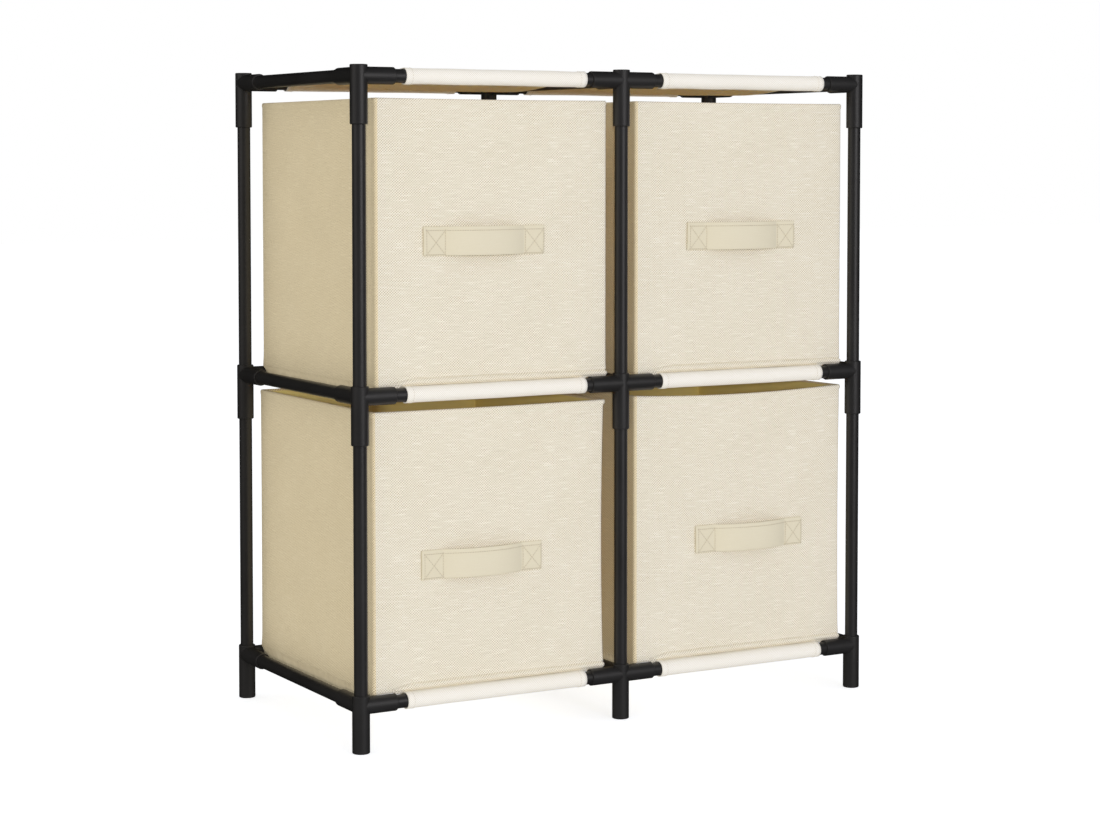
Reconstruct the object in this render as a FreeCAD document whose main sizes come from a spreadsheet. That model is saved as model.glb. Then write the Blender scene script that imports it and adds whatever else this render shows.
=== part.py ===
"""Fabric drawer dresser: a push-fit tube frame, sleeve shelf panels and four pull-out fabric bins.

Millimetres, +Z up, the front faces -Y. The origin is on the floor, midway between the six legs.
Every driving dimension is a cell of the sheet "Sizes", and each piece is bound to those cells.
"""

import FreeCAD
import Part
import Sketcher

import os
import re

# Driving dimensions: sheet alias, millimetres, meaning
SIZES = (
    ("bay_pitch", 306.0, "leg axis to leg axis, left to right"),
    ("leg_depth", 293.0, "front leg axis to back leg axis"),
    ("foot_height", 47.6, "floor to the axis of the bottom rails"),
    ("lower_rise", 311.2, "bottom rail axis to middle rail axis"),
    ("upper_rise", 320.6, "middle rail axis to top rail axis"),
    ("tube_diameter", 14.0, "outside of every steel tube"),
    ("tube_wall", 1.0, "steel tube wall"),
    ("barrel_wall", 1.9, "wall of a connector's upright barrel round its bore"),
    ("arm_wall", 1.7, "wall of a connector's rail sockets round their bores"),
    ("cap_rise", 11.0, "rail axis to the top of a barrel"),
    ("barrel_drop", 48.6, "rail axis to the lower mouth of a barrel"),
    ("cross_arm_reach", 38.5, "leg axis to the mouth of a cross rail socket"),
    ("side_arm_reach", 45.0, "leg axis to the mouth of a side rail socket"),
    ("cross_rail_web", 4.9, "upright's bore to the floor of a cross rail socket"),
    ("side_rail_web", 7.9, "upright's bore to the floor of a side rail socket"),
    ("socket_clearance", 0.1, "radial room round a tube in its socket"),
    ("end_clearance", 0.3, "tube end to the floor of its socket"),
    ("cap_thickness", 6.0, "closed top of a top connector"),
    ("web_drop", 9.0, "rail axis to the web between two uprights"),
    ("web_thickness", 6.0, "web that parts the two uprights in a middle connector"),
    ("foot_floor", 18.0, "solid lower end of a foot"),
    ("rim_round", 1.0, "rounding of a connector's rims"),
    ("panel_gap", 9.5, "mouth of a cross rail socket to the side edge of a shelf panel"),
    ("panel_ply", 1.1, "thickness of the shelf fabric"),
    ("sleeve_clearance", 0.1, "radial room round a rail in its sleeve"),
    ("bin_side_gap", 17.5, "leg axis to the side of a bin"),
    ("bin_setback", 3.5, "front leg axis back to the front of a bin"),
    ("bin_back_gap", 4.5, "back leg axis forward to the back of a bin"),
    ("upper_rim_gap", 23.5, "rim of an upper bin to the axis of the rails above it"),
    ("lower_rim_gap", 14.1, "rim of a lower bin to the axis of the rails above it"),
    ("bin_corner", 5.0, "outer rounding of a bin's upright corners"),
    ("bin_inner_corner", 1.5, "inner rounding of a bin's upright corners"),
    ("bin_ply", 0.8, "one layer of bin fabric"),
    ("bin_floor", 1.6, "fabric floor of a bin"),
    ("bin_clearance", 0.3, "rail sockets to the underside of a bin"),
    ("board_thickness", 2.2, "stiffener board in a bin wall"),
    ("board_clearance", 0.1, "room round a board in its pocket"),
    ("board_inset", 6.0, "inner wall face to the upright edge of a board"),
    ("board_hem", 9.0, "bin rim or underside to the edge of a board"),
    ("base_thickness", 3.0, "loose base board"),
    ("base_clearance", 0.8, "base board to the inner wall faces"),
    ("strap_width", 140.0, "handle strap from end to end"),
    ("strap_height", 30.0, "width of the strap's webbing"),
    ("strap_patch", 24.0, "sewn end of the strap"),
    ("strap_ply", 1.8, "thickness of the strap"),
    ("strap_bulge", 10.5, "finger room behind the middle of the strap"),
    ("upper_handle_drop", 142.7, "rim of an upper bin to its strap's centre line"),
    ("lower_handle_drop", 161.4, "rim of a lower bin to its strap's centre line"),
    ("upper_left_strap_offset", 10.0, "middle of the bin outwards to the middle of its strap"),
    ("upper_right_strap_offset", 2.5, "middle of the bin outwards to the middle of its strap"),
    ("lower_left_strap_offset", 13.0, "middle of the bin outwards to the middle of its strap"),
    ("lower_right_strap_offset", 14.5, "middle of the bin outwards to the middle of its strap"),
)

# Places of the frame, written in the aliases above
COLUMNS = {"left": "-bay_pitch", "centre": "0", "right": "bay_pitch"}
ROWS = {"front": "-leg_depth / 2", "back": "leg_depth / 2"}
LEVELS = {
    "bottom": "foot_height",
    "middle": "foot_height + lower_rise",
    "top": "foot_height + lower_rise + upper_rise",
}
BAYS = {"left": "-bay_pitch / 2", "right": "bay_pitch / 2"}
OUTWARDS = {"left": "-", "right": "+"}
CROSS_ARMS = {"left": ("+X",), "centre": ("+X", "-X"), "right": ("-X",)}
SIDE_ARMS = {"front": "+Y", "back": "-Y"}
ARM_NAMES = {"+X": "right", "-X": "left", "+Y": "rearward", "-Y": "forward"}
TIERS = {
    "upper": ("middle", "top", "upper_rim_gap", "upper_handle_drop"),
    "lower": ("bottom", "middle", "lower_rim_gap", "lower_handle_drop"),
}

# Sizes that follow from the driving ones
SOCKET_RADIUS = "(tube_diameter / 2 + socket_clearance)"
BARREL_RADIUS = "(tube_diameter / 2 + socket_clearance + barrel_wall)"
ARM_RADIUS = "(tube_diameter / 2 + socket_clearance + arm_wall)"
SLEEVE_INNER = "(tube_diameter / 2 + sleeve_clearance)"
SLEEVE_OUTER = "(tube_diameter / 2 + sleeve_clearance + panel_ply)"
CROSS_SEAT = f"({SOCKET_RADIUS} + cross_rail_web)"
SIDE_SEAT = f"({SOCKET_RADIUS} + side_rail_web)"
PANEL_WIDTH = "(bay_pitch - 2 * (cross_arm_reach + panel_gap))"
BIN_WIDTH = "(bay_pitch - 2 * bin_side_gap)"
BIN_DEPTH = "(leg_depth - bin_setback - bin_back_gap)"
BIN_WALL = "(2 * bin_ply + board_thickness + 2 * board_clearance)"
BIN_FRONT = "(-leg_depth / 2 + bin_setback)"
BIN_LIFT = f"({ARM_RADIUS} + bin_clearance)"

UP = FreeCAD.Vector(0, 0, 1)
TURNS = {
    "+Z": FreeCAD.Rotation(),
    "+X": FreeCAD.Rotation(UP, FreeCAD.Vector(1, 0, 0)),
    "-X": FreeCAD.Rotation(UP, FreeCAD.Vector(-1, 0, 0)),
    "+Y": FreeCAD.Rotation(UP, FreeCAD.Vector(0, 1, 0)),
    "-Y": FreeCAD.Rotation(UP, FreeCAD.Vector(0, -1, 0)),
}
FACING_FRONT = FreeCAD.Rotation(UP, 180)

doc = FreeCAD.newDocument("fabric_drawer_dresser")
sheet = doc.addObject("Spreadsheet::Sheet", "Sizes")
for row, (alias, millimetres, meaning) in enumerate(SIZES, start=1):
    sheet.set(f"A{row}", meaning)
    sheet.set(f"B{row}", str(millimetres))
    sheet.setAlias(f"B{row}", alias)
doc.recompute()

ALIASES = re.compile(r"\b(" + "|".join(alias for alias, _, _ in SIZES) + r")\b")
nodes = []


def bind(thing, path, expression):
    """Ties one property of an object to the sheet; the expression names plain aliases."""
    thing.setExpression(path, ALIASES.sub(r"Sizes.\1", expression))


def place(thing, x, y, z, turn="+Z"):
    """Turns an object's own Z to a row axis and ties its base point to the sheet."""
    thing.Placement.Rotation = TURNS[turn]
    for axis, expression in zip("xyz", (x, y, z)):
        bind(thing, f"Placement.Base.{axis}", expression)


def keep(thing, label):
    """Names a finished sub-part and lists it for writing."""
    thing.Label = label
    nodes.append(thing)
    return thing


def cylinder(name, radius, length, base, turn="+Z"):
    """A round bar from its base point along a row axis."""
    bar = doc.addObject("Part::Cylinder", name)
    bind(bar, "Radius", radius)
    bind(bar, "Height", length)
    place(bar, *base, turn)
    return bar


def box(name, size, corner):
    """A block with its lowest corner at a point."""
    block = doc.addObject("Part::Box", name)
    for side, expression in zip(("Length", "Width", "Height"), size):
        bind(block, side, expression)
    place(block, *corner)
    return block


def fuse(name, things):
    """All the things as one solid, or the thing itself if it is alone."""
    if len(things) == 1:
        return things[0]
    joined = doc.addObject("Part::MultiFuse", name)
    joined.Shapes = things
    joined.Refine = True
    return joined


def cut(name, base, tools):
    """The base with the tools taken out of it."""
    made = doc.addObject("Part::Cut", name)
    made.Base = base
    made.Tool = fuse(f"{name}_tools", tools)
    made.Refine = True
    return made


def rounded(name, base, radius, chosen):
    """The base with the edges that the test chooses rounded to a sheet size."""
    doc.recompute()
    size = sheet.get(radius)
    made = doc.addObject("Part::Fillet", name)
    made.Base = base
    made.Edges = [(i, size, size) for i, edge in enumerate(base.Shape.Edges, start=1) if chosen(edge)]
    return made


def moved(point, axis, amount):
    """A base point shifted along one row axis by an expression."""
    shifted = list(point)
    at = "XYZ".index(axis[1])
    shifted[at] = f"{point[at]} {axis[0]} ({amount})"
    return tuple(shifted)


def is_rim(edge):
    """Full circles wider than a connector's bores: cap, foot, barrel mouth and socket mouths."""
    if not edge.Closed or not isinstance(edge.Curve, Part.Circle):
        return False
    bore = sheet.get("tube_diameter") / 2 + sheet.get("socket_clearance")
    return edge.Curve.Radius > bore + sheet.get("rim_round") / 2


def is_upright(edge):
    """Straight edges along Z."""
    return isinstance(edge.Curve, Part.Line) and abs(edge.Curve.Direction.z) == 1


def upright_seats():
    """Heights of the socket floors at the lower and upper end of each tier's uprights."""
    middle, top = LEVELS["middle"], LEVELS["top"]
    return {
        "lower": ("foot_floor", f"{middle} - web_drop - web_thickness"),
        "upper": (f"{middle} - web_drop", f"{top} + cap_rise - cap_thickness"),
    }


def upright_bores(name, level, x, y):
    """The upright sockets of one connector, open at the barrel's mouths."""
    seats = upright_seats()
    bores = []
    if level != "top":
        tier = "lower" if level == "bottom" else "upper"
        floor = seats[tier][0]
        length = f"{LEVELS[level]} + cap_rise - ({floor})"
        bores.append(cylinder(f"{name}_upper_bore", SOCKET_RADIUS, length, (x, y, floor)))
    if level != "bottom":
        tier = "upper" if level == "top" else "lower"
        mouth = f"{LEVELS[level]} - barrel_drop"
        length = f"{seats[tier][1]} - ({mouth})"
        bores.append(cylinder(f"{name}_lower_bore", SOCKET_RADIUS, length, (x, y, mouth)))
    return bores


def connector(level, row, column):
    """One moulded connector: an upright barrel with side sockets, bored for its tubes."""
    name = f"{level}_connector_{row}_{column}"
    x, y, z = COLUMNS[column], ROWS[row], LEVELS[level]
    drop = "foot_height" if level == "bottom" else "barrel_drop"
    solids = [
        cylinder(f"{name}_barrel", BARREL_RADIUS, f"{drop} + cap_rise", (x, y, f"{z} - {drop}"))
    ]
    bores = upright_bores(name, level, x, y)
    arms = [(arm, "cross_arm_reach", CROSS_SEAT) for arm in CROSS_ARMS[column]]
    arms.append((SIDE_ARMS[row], "side_arm_reach", SIDE_SEAT))
    for arm, reach, seat in arms:
        tag = f"{name}_{ARM_NAMES[arm]}"
        solids.append(cylinder(f"{tag}_arm", ARM_RADIUS, reach, (x, y, z), arm))
        floor = moved((x, y, z), arm, seat)
        bores.append(cylinder(f"{tag}_bore", SOCKET_RADIUS, f"{reach} - {seat}", floor, arm))
    body = cut(f"{name}_bored", fuse(f"{name}_moulding", solids), bores)
    keep(rounded(f"{name}_rounded", body, "rim_round", is_rim), name)


def tube(name, base, length, turn):
    """One steel tube with open ends."""
    outside = cylinder(f"{name}_outside", "tube_diameter / 2", length, base, turn)
    inside = cylinder(f"{name}_inside", "tube_diameter / 2 - tube_wall", length, base, turn)
    return cut(f"{name}_tube", outside, [inside])


def uprights():
    """Twelve upright tubes, one for each leg and tier."""
    for tier, (low, high) in upright_seats().items():
        for row, y in ROWS.items():
            for column, x in COLUMNS.items():
                name = f"{tier}_upright_{row}_{column}"
                start = f"{low} + end_clearance"
                length = f"({high}) - ({low}) - 2 * end_clearance"
                keep(tube(name, (x, y, start), length, "+Z"), name)


def group(label, things):
    """Several like solids as one sub-part."""
    made = doc.addObject("Part::Compound", f"{label}_group")
    made.Links = things
    keep(made, label)


def cross_rails(level):
    """The four rails of one level that run left to right."""
    tubes = []
    for row, y in ROWS.items():
        for bay, leg in (("left", COLUMNS["left"]), ("right", COLUMNS["centre"])):
            base = (f"{leg} + {CROSS_SEAT} + end_clearance", y, LEVELS[level])
            length = f"bay_pitch - 2 * ({CROSS_SEAT} + end_clearance)"
            tubes.append(tube(f"{level}_cross_rail_{row}_{bay}", base, length, "+X"))
    group(f"{level}_cross_rails", tubes)


def side_rails(level):
    """The three rails of one level that run front to back."""
    tubes = []
    for column, x in COLUMNS.items():
        base = (x, f"{ROWS['front']} + {SIDE_SEAT} + end_clearance", LEVELS[level])
        length = f"leg_depth - 2 * ({SIDE_SEAT} + end_clearance)"
        tubes.append(tube(f"{level}_side_rail_{column}", base, length, "+Y"))
    group(f"{level}_side_rails", tubes)


def shelf_panel(level, bay):
    """A fabric sheet level with the tops of its two sleeves, which hold the cross rails."""
    name = f"{level}_shelf_panel_{bay}"
    start = f"{BAYS[bay]} - {PANEL_WIDTH} / 2"
    sheet_corner = (start, ROWS["front"], f"{LEVELS[level]} + {SLEEVE_INNER}")
    cloth = [box(f"{name}_sheet", (PANEL_WIDTH, "leg_depth", "panel_ply"), sheet_corner)]
    holes = []
    for row, y in ROWS.items():
        base = (start, y, LEVELS[level])
        cloth.append(cylinder(f"{name}_{row}_sleeve", SLEEVE_OUTER, PANEL_WIDTH, base, "+X"))
        holes.append(cylinder(f"{name}_{row}_hole", SLEEVE_INNER, PANEL_WIDTH, base, "+X"))
    keep(cut(f"{name}_cloth", fuse(f"{name}_plies", cloth), holes), name)


def wall_boards(name, x, z, height, grow):
    """Four blocks in the middle of the bin walls, grown all round by an expression."""
    across = f"{BIN_WIDTH} - 2 * ({BIN_WALL} + board_inset) + 2 * ({grow})"
    along = f"{BIN_DEPTH} - 2 * ({BIN_WALL} + board_inset) + 2 * ({grow})"
    tall = f"{height} - 2 * board_hem + 2 * ({grow})"
    thick = f"board_thickness + 2 * ({grow})"
    lowest = f"{z} + board_hem - ({grow})"
    skin = f"bin_ply + board_clearance - ({grow})"
    inset = f"{BIN_WALL} + board_inset - ({grow})"
    left, front = f"{x} - {BIN_WIDTH} / 2", BIN_FRONT
    corners = {
        "front": ((across, thick, tall), (f"{left} + {inset}", f"{front} + {skin}", lowest)),
        "back": (
            (across, thick, tall),
            (f"{left} + {inset}", f"{front} + {BIN_DEPTH} - ({skin}) - ({thick})", lowest),
        ),
        "left": ((thick, along, tall), (f"{left} + {skin}", f"{front} + {inset}", lowest)),
        "right": (
            (thick, along, tall),
            (f"{left} + {BIN_WIDTH} - ({skin}) - ({thick})", f"{front} + {inset}", lowest),
        ),
    }
    return [box(f"{name}_{side}", size, corner) for side, (size, corner) in corners.items()]


def bin_fabric(name, x, z, height):
    """The sewn fabric box: rounded upright corners, an open top and a pocket in each wall."""
    left = f"{x} - {BIN_WIDTH} / 2"
    outer_box = box(f"{name}_outside", (BIN_WIDTH, BIN_DEPTH, height), (left, BIN_FRONT, z))
    outer = rounded(f"{name}_outline", outer_box, "bin_corner", is_upright)
    inner_size = (f"{BIN_WIDTH} - 2 * {BIN_WALL}", f"{BIN_DEPTH} - 2 * {BIN_WALL}", f"{height} - bin_floor")
    inner_corner = (f"{left} + {BIN_WALL}", f"{BIN_FRONT} + {BIN_WALL}", f"{z} + bin_floor")
    inner_box = box(f"{name}_inside", inner_size, inner_corner)
    inner = rounded(f"{name}_hollow", inner_box, "bin_inner_corner", is_upright)
    pockets = wall_boards(f"{name}_pocket", x, z, height, "board_clearance")
    keep(cut(f"{name}_sewn", outer, [inner, *pockets]), f"{name}_fabric")


def base_board(name, x, z):
    """The loose board that lies on the bin's fabric floor."""
    gap = f"({BIN_WALL} + base_clearance)"
    size = (f"{BIN_WIDTH} - 2 * {gap}", f"{BIN_DEPTH} - 2 * {gap}", "base_thickness")
    corner = (f"{x} - {BIN_WIDTH} / 2 + {gap}", f"{BIN_FRONT} + {gap}", f"{z} + bin_floor")
    keep(box(f"{name}_base_block", size, corner), f"{name}_base_board")


def strap_corners(lift):
    """Corners of one side of the strap's plan, left to right: number and expression of x, then of y."""
    width, patch, bulge = (sheet.get(alias) for alias in ("strap_width", "strap_patch", "strap_bulge"))
    quarter = (width - 2 * patch) / 4
    quarter_words = "(strap_width - 2 * strap_patch) / 4"
    rise = (sheet.get("strap_ply") if lift else 0, "strap_ply" if lift else "0")
    crown = (bulge / 2 + rise[0], f"strap_bulge / 2 + {rise[1]}")
    return [
        ((0, "0"), rise),
        ((patch, "strap_patch"), rise),
        ((patch + quarter, f"strap_patch + {quarter_words}"), crown),
        ((width - patch - quarter, f"strap_width - strap_patch - {quarter_words}"), crown),
        ((width - patch, "strap_width - strap_patch"), rise),
        ((width, "strap_width"), rise),
    ]


def strap_side(sketch, lift):
    """One side of the strap's plan: flat end, foot arc, crown arc, foot arc, flat end, all tangent."""
    corners = strap_corners(lift)
    points = [FreeCAD.Vector(x[0], y[0]) for x, y in corners]
    low, high = points[1].y, points[2].y
    foot_mid = FreeCAD.Vector(0, (high - low) / 4)
    mids = [
        (points[1] + points[2]) / 2 - foot_mid,
        (points[2] + points[3]) / 2 + FreeCAD.Vector(0, high - low),
        (points[3] + points[4]) / 2 - foot_mid,
    ]
    pieces = [
        Part.LineSegment(points[0], points[1]),
        Part.Arc(points[1], mids[0], points[2]),
        Part.Arc(points[2], mids[1], points[3]),
        Part.Arc(points[3], mids[2], points[4]),
        Part.LineSegment(points[4], points[5]),
    ]
    flat, foot, crown, far_foot, far_flat = [sketch.addGeometry(piece, False) for piece in pieces]
    near, far = {}, {}
    for piece in (flat, foot, crown, far_foot, far_flat):
        forwards = sketch.getPoint(piece, 1).x < sketch.getPoint(piece, 2).x
        near[piece], far[piece] = (1, 2) if forwards else (2, 1)
    for left, right in ((flat, foot), (foot, crown), (far_foot, far_flat)):
        sketch.addConstraint(Sketcher.Constraint("Tangent", left, far[left], right, near[right]))
    sketch.addConstraint(Sketcher.Constraint("Coincident", crown, far[crown], far_foot, near[far_foot]))
    for piece in (flat, far_flat):
        sketch.addConstraint(Sketcher.Constraint("Horizontal", piece))
    pins = ((flat, near, 0, "XY"), (flat, far, 1, "X"), (crown, near, 2, "XY"))
    pins += ((crown, far, 3, "XY"), (far_flat, near, 4, "X"), (far_flat, far, 5, "XY"))
    for piece, end, corner, axes in pins:
        for axis in axes:
            pin(sketch, piece, end[piece], axis, corners[corner]["XY".index(axis)])
    return (flat, near[flat]), (far_flat, far[far_flat])


def pin(sketch, piece, end, axis, place_of):
    """Ties one coordinate of a sketch point to the sheet, or to the sketch's own axis where it is zero."""
    number, expression = place_of
    root, across = -1, {"X": -2, "Y": -1}[axis]
    if expression == "0":
        sketch.addConstraint(Sketcher.Constraint("PointOnObject", piece, end, across))
        return
    rule = Sketcher.Constraint(f"Distance{axis}", root, 1, piece, end, number)
    index = sketch.addConstraint(rule)
    name = f"point_{piece}_{end}_{axis}"
    sketch.renameConstraint(index, name)
    bind(sketch, f"Constraints.{name}", expression)


def strap_outline(sketch):
    """Plan of a strap, from its sewn left end: two flat ends and an arched middle, one ply thick."""
    back, face = strap_side(sketch, False), strap_side(sketch, True)
    for (back_piece, back_end), (face_piece, face_end) in zip(back, face):
        first, last = sketch.getPoint(back_piece, back_end), sketch.getPoint(face_piece, face_end)
        line = sketch.addGeometry(Part.LineSegment(first, last), False)
        sketch.addConstraint(Sketcher.Constraint("Coincident", line, 1, back_piece, back_end))
        sketch.addConstraint(Sketcher.Constraint("Coincident", line, 2, face_piece, face_end))


def handle(name, x, z):
    """The strap handle: its plan padded to the webbing's width, sewn flat to the bin's front."""
    body = doc.addObject("PartDesign::Body", f"{name}_strap")
    body.Placement.Rotation = FACING_FRONT
    bind(body, "Placement.Base.x", f"{x} + strap_width / 2")
    bind(body, "Placement.Base.y", BIN_FRONT)
    bind(body, "Placement.Base.z", f"{z} - strap_height / 2")
    sketch = body.newObject("Sketcher::SketchObject", f"{name}_plan")
    ground = next(f for f in body.Origin.OriginFeatures if f.Role == "XY_Plane")
    sketch.AttachmentSupport = [(ground, "")]
    sketch.MapMode = "FlatFace"
    strap_outline(sketch)
    webbing = body.newObject("PartDesign::Pad", f"{name}_webbing")
    webbing.Profile = sketch
    bind(webbing, "Length", "strap_height")
    keep(body, f"{name}_handle")


def fabric_bin(tier, bay):
    """One drawer: fabric box, wall boards, base board and handle."""
    name = f"{tier}_{bay}_bin"
    below, above, gap, drop = TIERS[tier]
    x, z, rim = BAYS[bay], f"{LEVELS[below]} + {BIN_LIFT}", f"{LEVELS[above]} - {gap}"
    height = f"({rim} - ({z}))"
    bin_fabric(name, x, z, height)
    group(f"{name}_wall_boards", wall_boards(f"{name}_board", x, z, height, "0"))
    base_board(name, x, z)
    handle(name, f"{x} {OUTWARDS[bay]} {tier}_{bay}_strap_offset", f"{rim} - {drop}")


def write_parts():
    """Checks the whole document, then writes one file for each sub-part."""
    doc.recompute()
    failed = [thing.Name for thing in doc.Objects if {"Invalid", "Error"} & set(thing.State)]
    failed += [thing.Label for thing in nodes if thing.Shape.isNull() or not thing.Shape.isValid()]
    if failed:
        raise RuntimeError(f"not built: {sorted(set(failed))}")
    os.makedirs("parts", exist_ok=True)
    whole = FreeCAD.BoundBox()
    for thing in nodes:
        thing.Shape.exportStep(f"parts/{thing.Label}.step")
        whole.add(thing.Shape.BoundBox)
    solids = sum(len(thing.Shape.Solids) for thing in nodes)
    print(f"{len(nodes)} sub-parts, {solids} solids, {whole}")


for level in LEVELS:
    for row in ROWS:
        for column in COLUMNS:
            connector(level, row, column)
uprights()
for level in LEVELS:
    cross_rails(level)
    side_rails(level)
    for bay in BAYS:
        shelf_panel(level, bay)
for tier in TIERS:
    for bay in BAYS:
        fabric_bin(tier, bay)
write_parts()
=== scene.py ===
"""Looks of a fabric drawer dresser: tube frame, sleeve shelves, soft bins and sewn strap handles.

Metres, +Z up, the front faces -Y. Places and main sizes are read from the nodes of the frame.
"""

import logging
import math
import random
from dataclasses import dataclass, field
from enum import Enum
from typing import Any, Sequence

import bpy
import numpy as np
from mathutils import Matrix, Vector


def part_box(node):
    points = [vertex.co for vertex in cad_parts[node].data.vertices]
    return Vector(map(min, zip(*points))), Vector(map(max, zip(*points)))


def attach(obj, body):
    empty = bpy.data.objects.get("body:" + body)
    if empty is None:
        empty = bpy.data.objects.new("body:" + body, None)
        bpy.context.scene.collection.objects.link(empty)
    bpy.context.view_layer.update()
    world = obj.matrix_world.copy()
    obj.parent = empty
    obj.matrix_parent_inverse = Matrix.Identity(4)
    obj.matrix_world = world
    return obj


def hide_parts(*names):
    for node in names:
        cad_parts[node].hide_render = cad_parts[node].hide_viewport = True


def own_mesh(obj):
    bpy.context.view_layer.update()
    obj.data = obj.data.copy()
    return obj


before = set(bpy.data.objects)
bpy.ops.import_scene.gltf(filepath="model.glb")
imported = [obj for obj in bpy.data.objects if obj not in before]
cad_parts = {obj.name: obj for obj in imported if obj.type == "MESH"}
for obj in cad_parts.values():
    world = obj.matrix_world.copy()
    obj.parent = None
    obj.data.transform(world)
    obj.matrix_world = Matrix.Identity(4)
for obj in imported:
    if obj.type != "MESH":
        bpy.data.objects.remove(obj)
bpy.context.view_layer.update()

MM = 0.001
TINY = 1e-6
NOISE_MIDDLE = (0.3, 0.7)
WHOLE = (0.0, 1.0)
EVEN = (1.0, 1.0, 1.0)
Pair = tuple[float, float]
Colour = tuple[float, float, float]
Point = tuple[float, float, float]
Socket = bpy.types.NodeSocket
log = logging.getLogger("dresser")


class Level(Enum):
    """Heights of the frame that carry rails and a shelf."""

    BOTTOM = "bottom"
    MIDDLE = "middle"
    TOP = "top"


class Row(Enum):
    """Front and back rows of legs."""

    FRONT = "front"
    BACK = "back"


class Column(Enum):
    """Columns of legs, seen from the front."""

    LEFT = "left"
    CENTRE = "centre"
    RIGHT = "right"


class Tier(Enum):
    """Storeys of bins."""

    LOWER = "lower"
    UPPER = "upper"


class Bay(Enum):
    """Bays between two columns of legs."""

    LEFT = "left"
    RIGHT = "right"


class Wall(Enum):
    """Walls of a bin, in the order in which its outline is walked."""

    FRONT = 0
    RIGHT = 1
    BACK = 2
    LEFT = 3


class NodeGraph:
    """A node tree that is filled node by node."""

    def __init__(self, tree: bpy.types.NodeTree) -> None:
        """Takes the tree to fill.

        Args:
            tree: a new tree of nodes.
        """
        self.tree = tree

    def feed(self, node: bpy.types.Node, inputs: dict[str | int, Any]) -> None:
        """Sets or links the inputs of a node.

        Args:
            node: the node to feed.
            inputs: a constant or another node's output socket for each input.
        """
        for key, value in inputs.items():
            if isinstance(value, Socket):
                self.tree.links.new(value, node.inputs[key])
            else:
                node.inputs[key].default_value = value

    def add(self, kind: str, inputs: dict[str | int, Any], **settings: Any) -> bpy.types.Node:
        """Adds one node.

        Args:
            kind: Blender's name of the node type.
            inputs: constants and sockets for its inputs.
            settings: properties of the node.

        Returns:
            The new node.
        """
        node = self.tree.nodes.new(kind)
        for name, value in settings.items():
            setattr(node, name, value)
        self.feed(node, inputs)
        return node


class ShaderGraph(NodeGraph):
    """One material's node tree, with a Principled shader at its end."""

    # A band texture's phase at one unit of its coordinate and scale 1.
    diagonal_phase = 10.0
    straight_phase = 20.0

    def __init__(self, name: str) -> None:
        """Starts an empty tree.

        Args:
            name: name of the material.
        """
        self.material = bpy.data.materials.new(name)
        self.material.use_nodes = True
        super().__init__(self.material.node_tree)
        self.tree.nodes.clear()
        output = self.tree.nodes.new("ShaderNodeOutputMaterial")
        self.shader = self.tree.nodes.new("ShaderNodeBsdfPrincipled")
        self.tree.links.new(self.shader.outputs["BSDF"], output.inputs["Surface"])

    def place(self, source: str, scale: Point = EVEN, turn: float = 0.0) -> Socket:
        """Coordinates of a pattern.

        Args:
            source: "UV" or "Object".
            scale: stretch along each coordinate.
            turn: turn about the third coordinate, in radians.

        Returns:
            A vector socket.
        """
        where = self.add("ShaderNodeTexCoord", {})
        inputs = {"Vector": where.outputs[source], "Scale": scale, "Rotation": (0.0, 0.0, turn)}
        return self.add("ShaderNodeMapping", inputs).outputs["Vector"]

    def noise(self, vector: Socket, scale: float, detail: float = 2.0) -> Socket:
        """Soft noise from 0 to 1 on a vector."""
        inputs = {"Vector": vector, "Scale": scale, "Detail": detail}
        return self.add("ShaderNodeTexNoise", inputs).outputs[0]

    def yarns(self, vector: Socket, pitch: float, direction: str) -> Socket:
        """Rounded parallel yarns.

        Args:
            vector: coordinates in metres.
            pitch: distance from yarn to yarn.
            direction: "X", "Y" or "DIAGONAL", across the yarns.

        Returns:
            A height from 0 to 1.
        """
        diagonal = direction == "DIAGONAL"
        phase = self.diagonal_phase if diagonal else self.straight_phase
        scale = 2.0 * math.pi / (phase * pitch * (math.sqrt(2.0) if diagonal else 1.0))
        settings = {"wave_type": "BANDS", "bands_direction": direction, "wave_profile": "SIN"}
        inputs = {"Vector": vector, "Scale": scale, "Distortion": 0.0}
        return self.add("ShaderNodeTexWave", inputs, **settings).outputs["Fac"]

    def math(self, operation: str, first: Any, second: Any) -> Socket:
        """One arithmetic step on two values or sockets."""
        return self.add("ShaderNodeMath", {0: first, 1: second}, operation=operation).outputs[0]

    def weigh(self, first: Socket, second: Socket, shares: Pair) -> Socket:
        """Adds two values, each times its share."""
        weighed = [self.math("MULTIPLY", value, share) for value, share in zip((first, second), shares)]
        return self.math("ADD", *weighed)

    def span(self, value: Socket, low: float, high: float, out: Pair = WHOLE) -> Socket:
        """Maps a value from low..high to a range of outputs, held at both ends."""
        inputs = {"Value": value, "From Min": low, "From Max": high, "To Min": out[0], "To Max": out[1]}
        return self.add("ShaderNodeMapRange", inputs, clamp=True).outputs["Result"]

    def blend(self, share: Any, first: Any, second: Any) -> Socket:
        """Mixes two colours.

        Args:
            share: how much of the second colour shows.
            first: colour or socket at share 0.
            second: colour or socket at share 1.

        Returns:
            A colour socket.
        """
        first, second = [(*c, 1.0) if isinstance(c, tuple) else c for c in (first, second)]
        # A mix node has its colours at inputs 6 and 7 and at output 2.
        return self.add("ShaderNodeMix", {0: share, 6: first, 7: second}, data_type="RGBA").outputs[2]

    def relief(self, height: Socket, depth: float) -> Socket:
        """A bumped normal from a height of the given depth in metres."""
        inputs = {"Height": height, "Distance": depth, "Strength": 1.0}
        return self.add("ShaderNodeBump", inputs).outputs["Normal"]

    def finish(self, inputs: dict[str, Any]) -> bpy.types.Material:
        """Feeds the shader and returns the material."""
        self.feed(self.shader, inputs)
        return self.material


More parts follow.
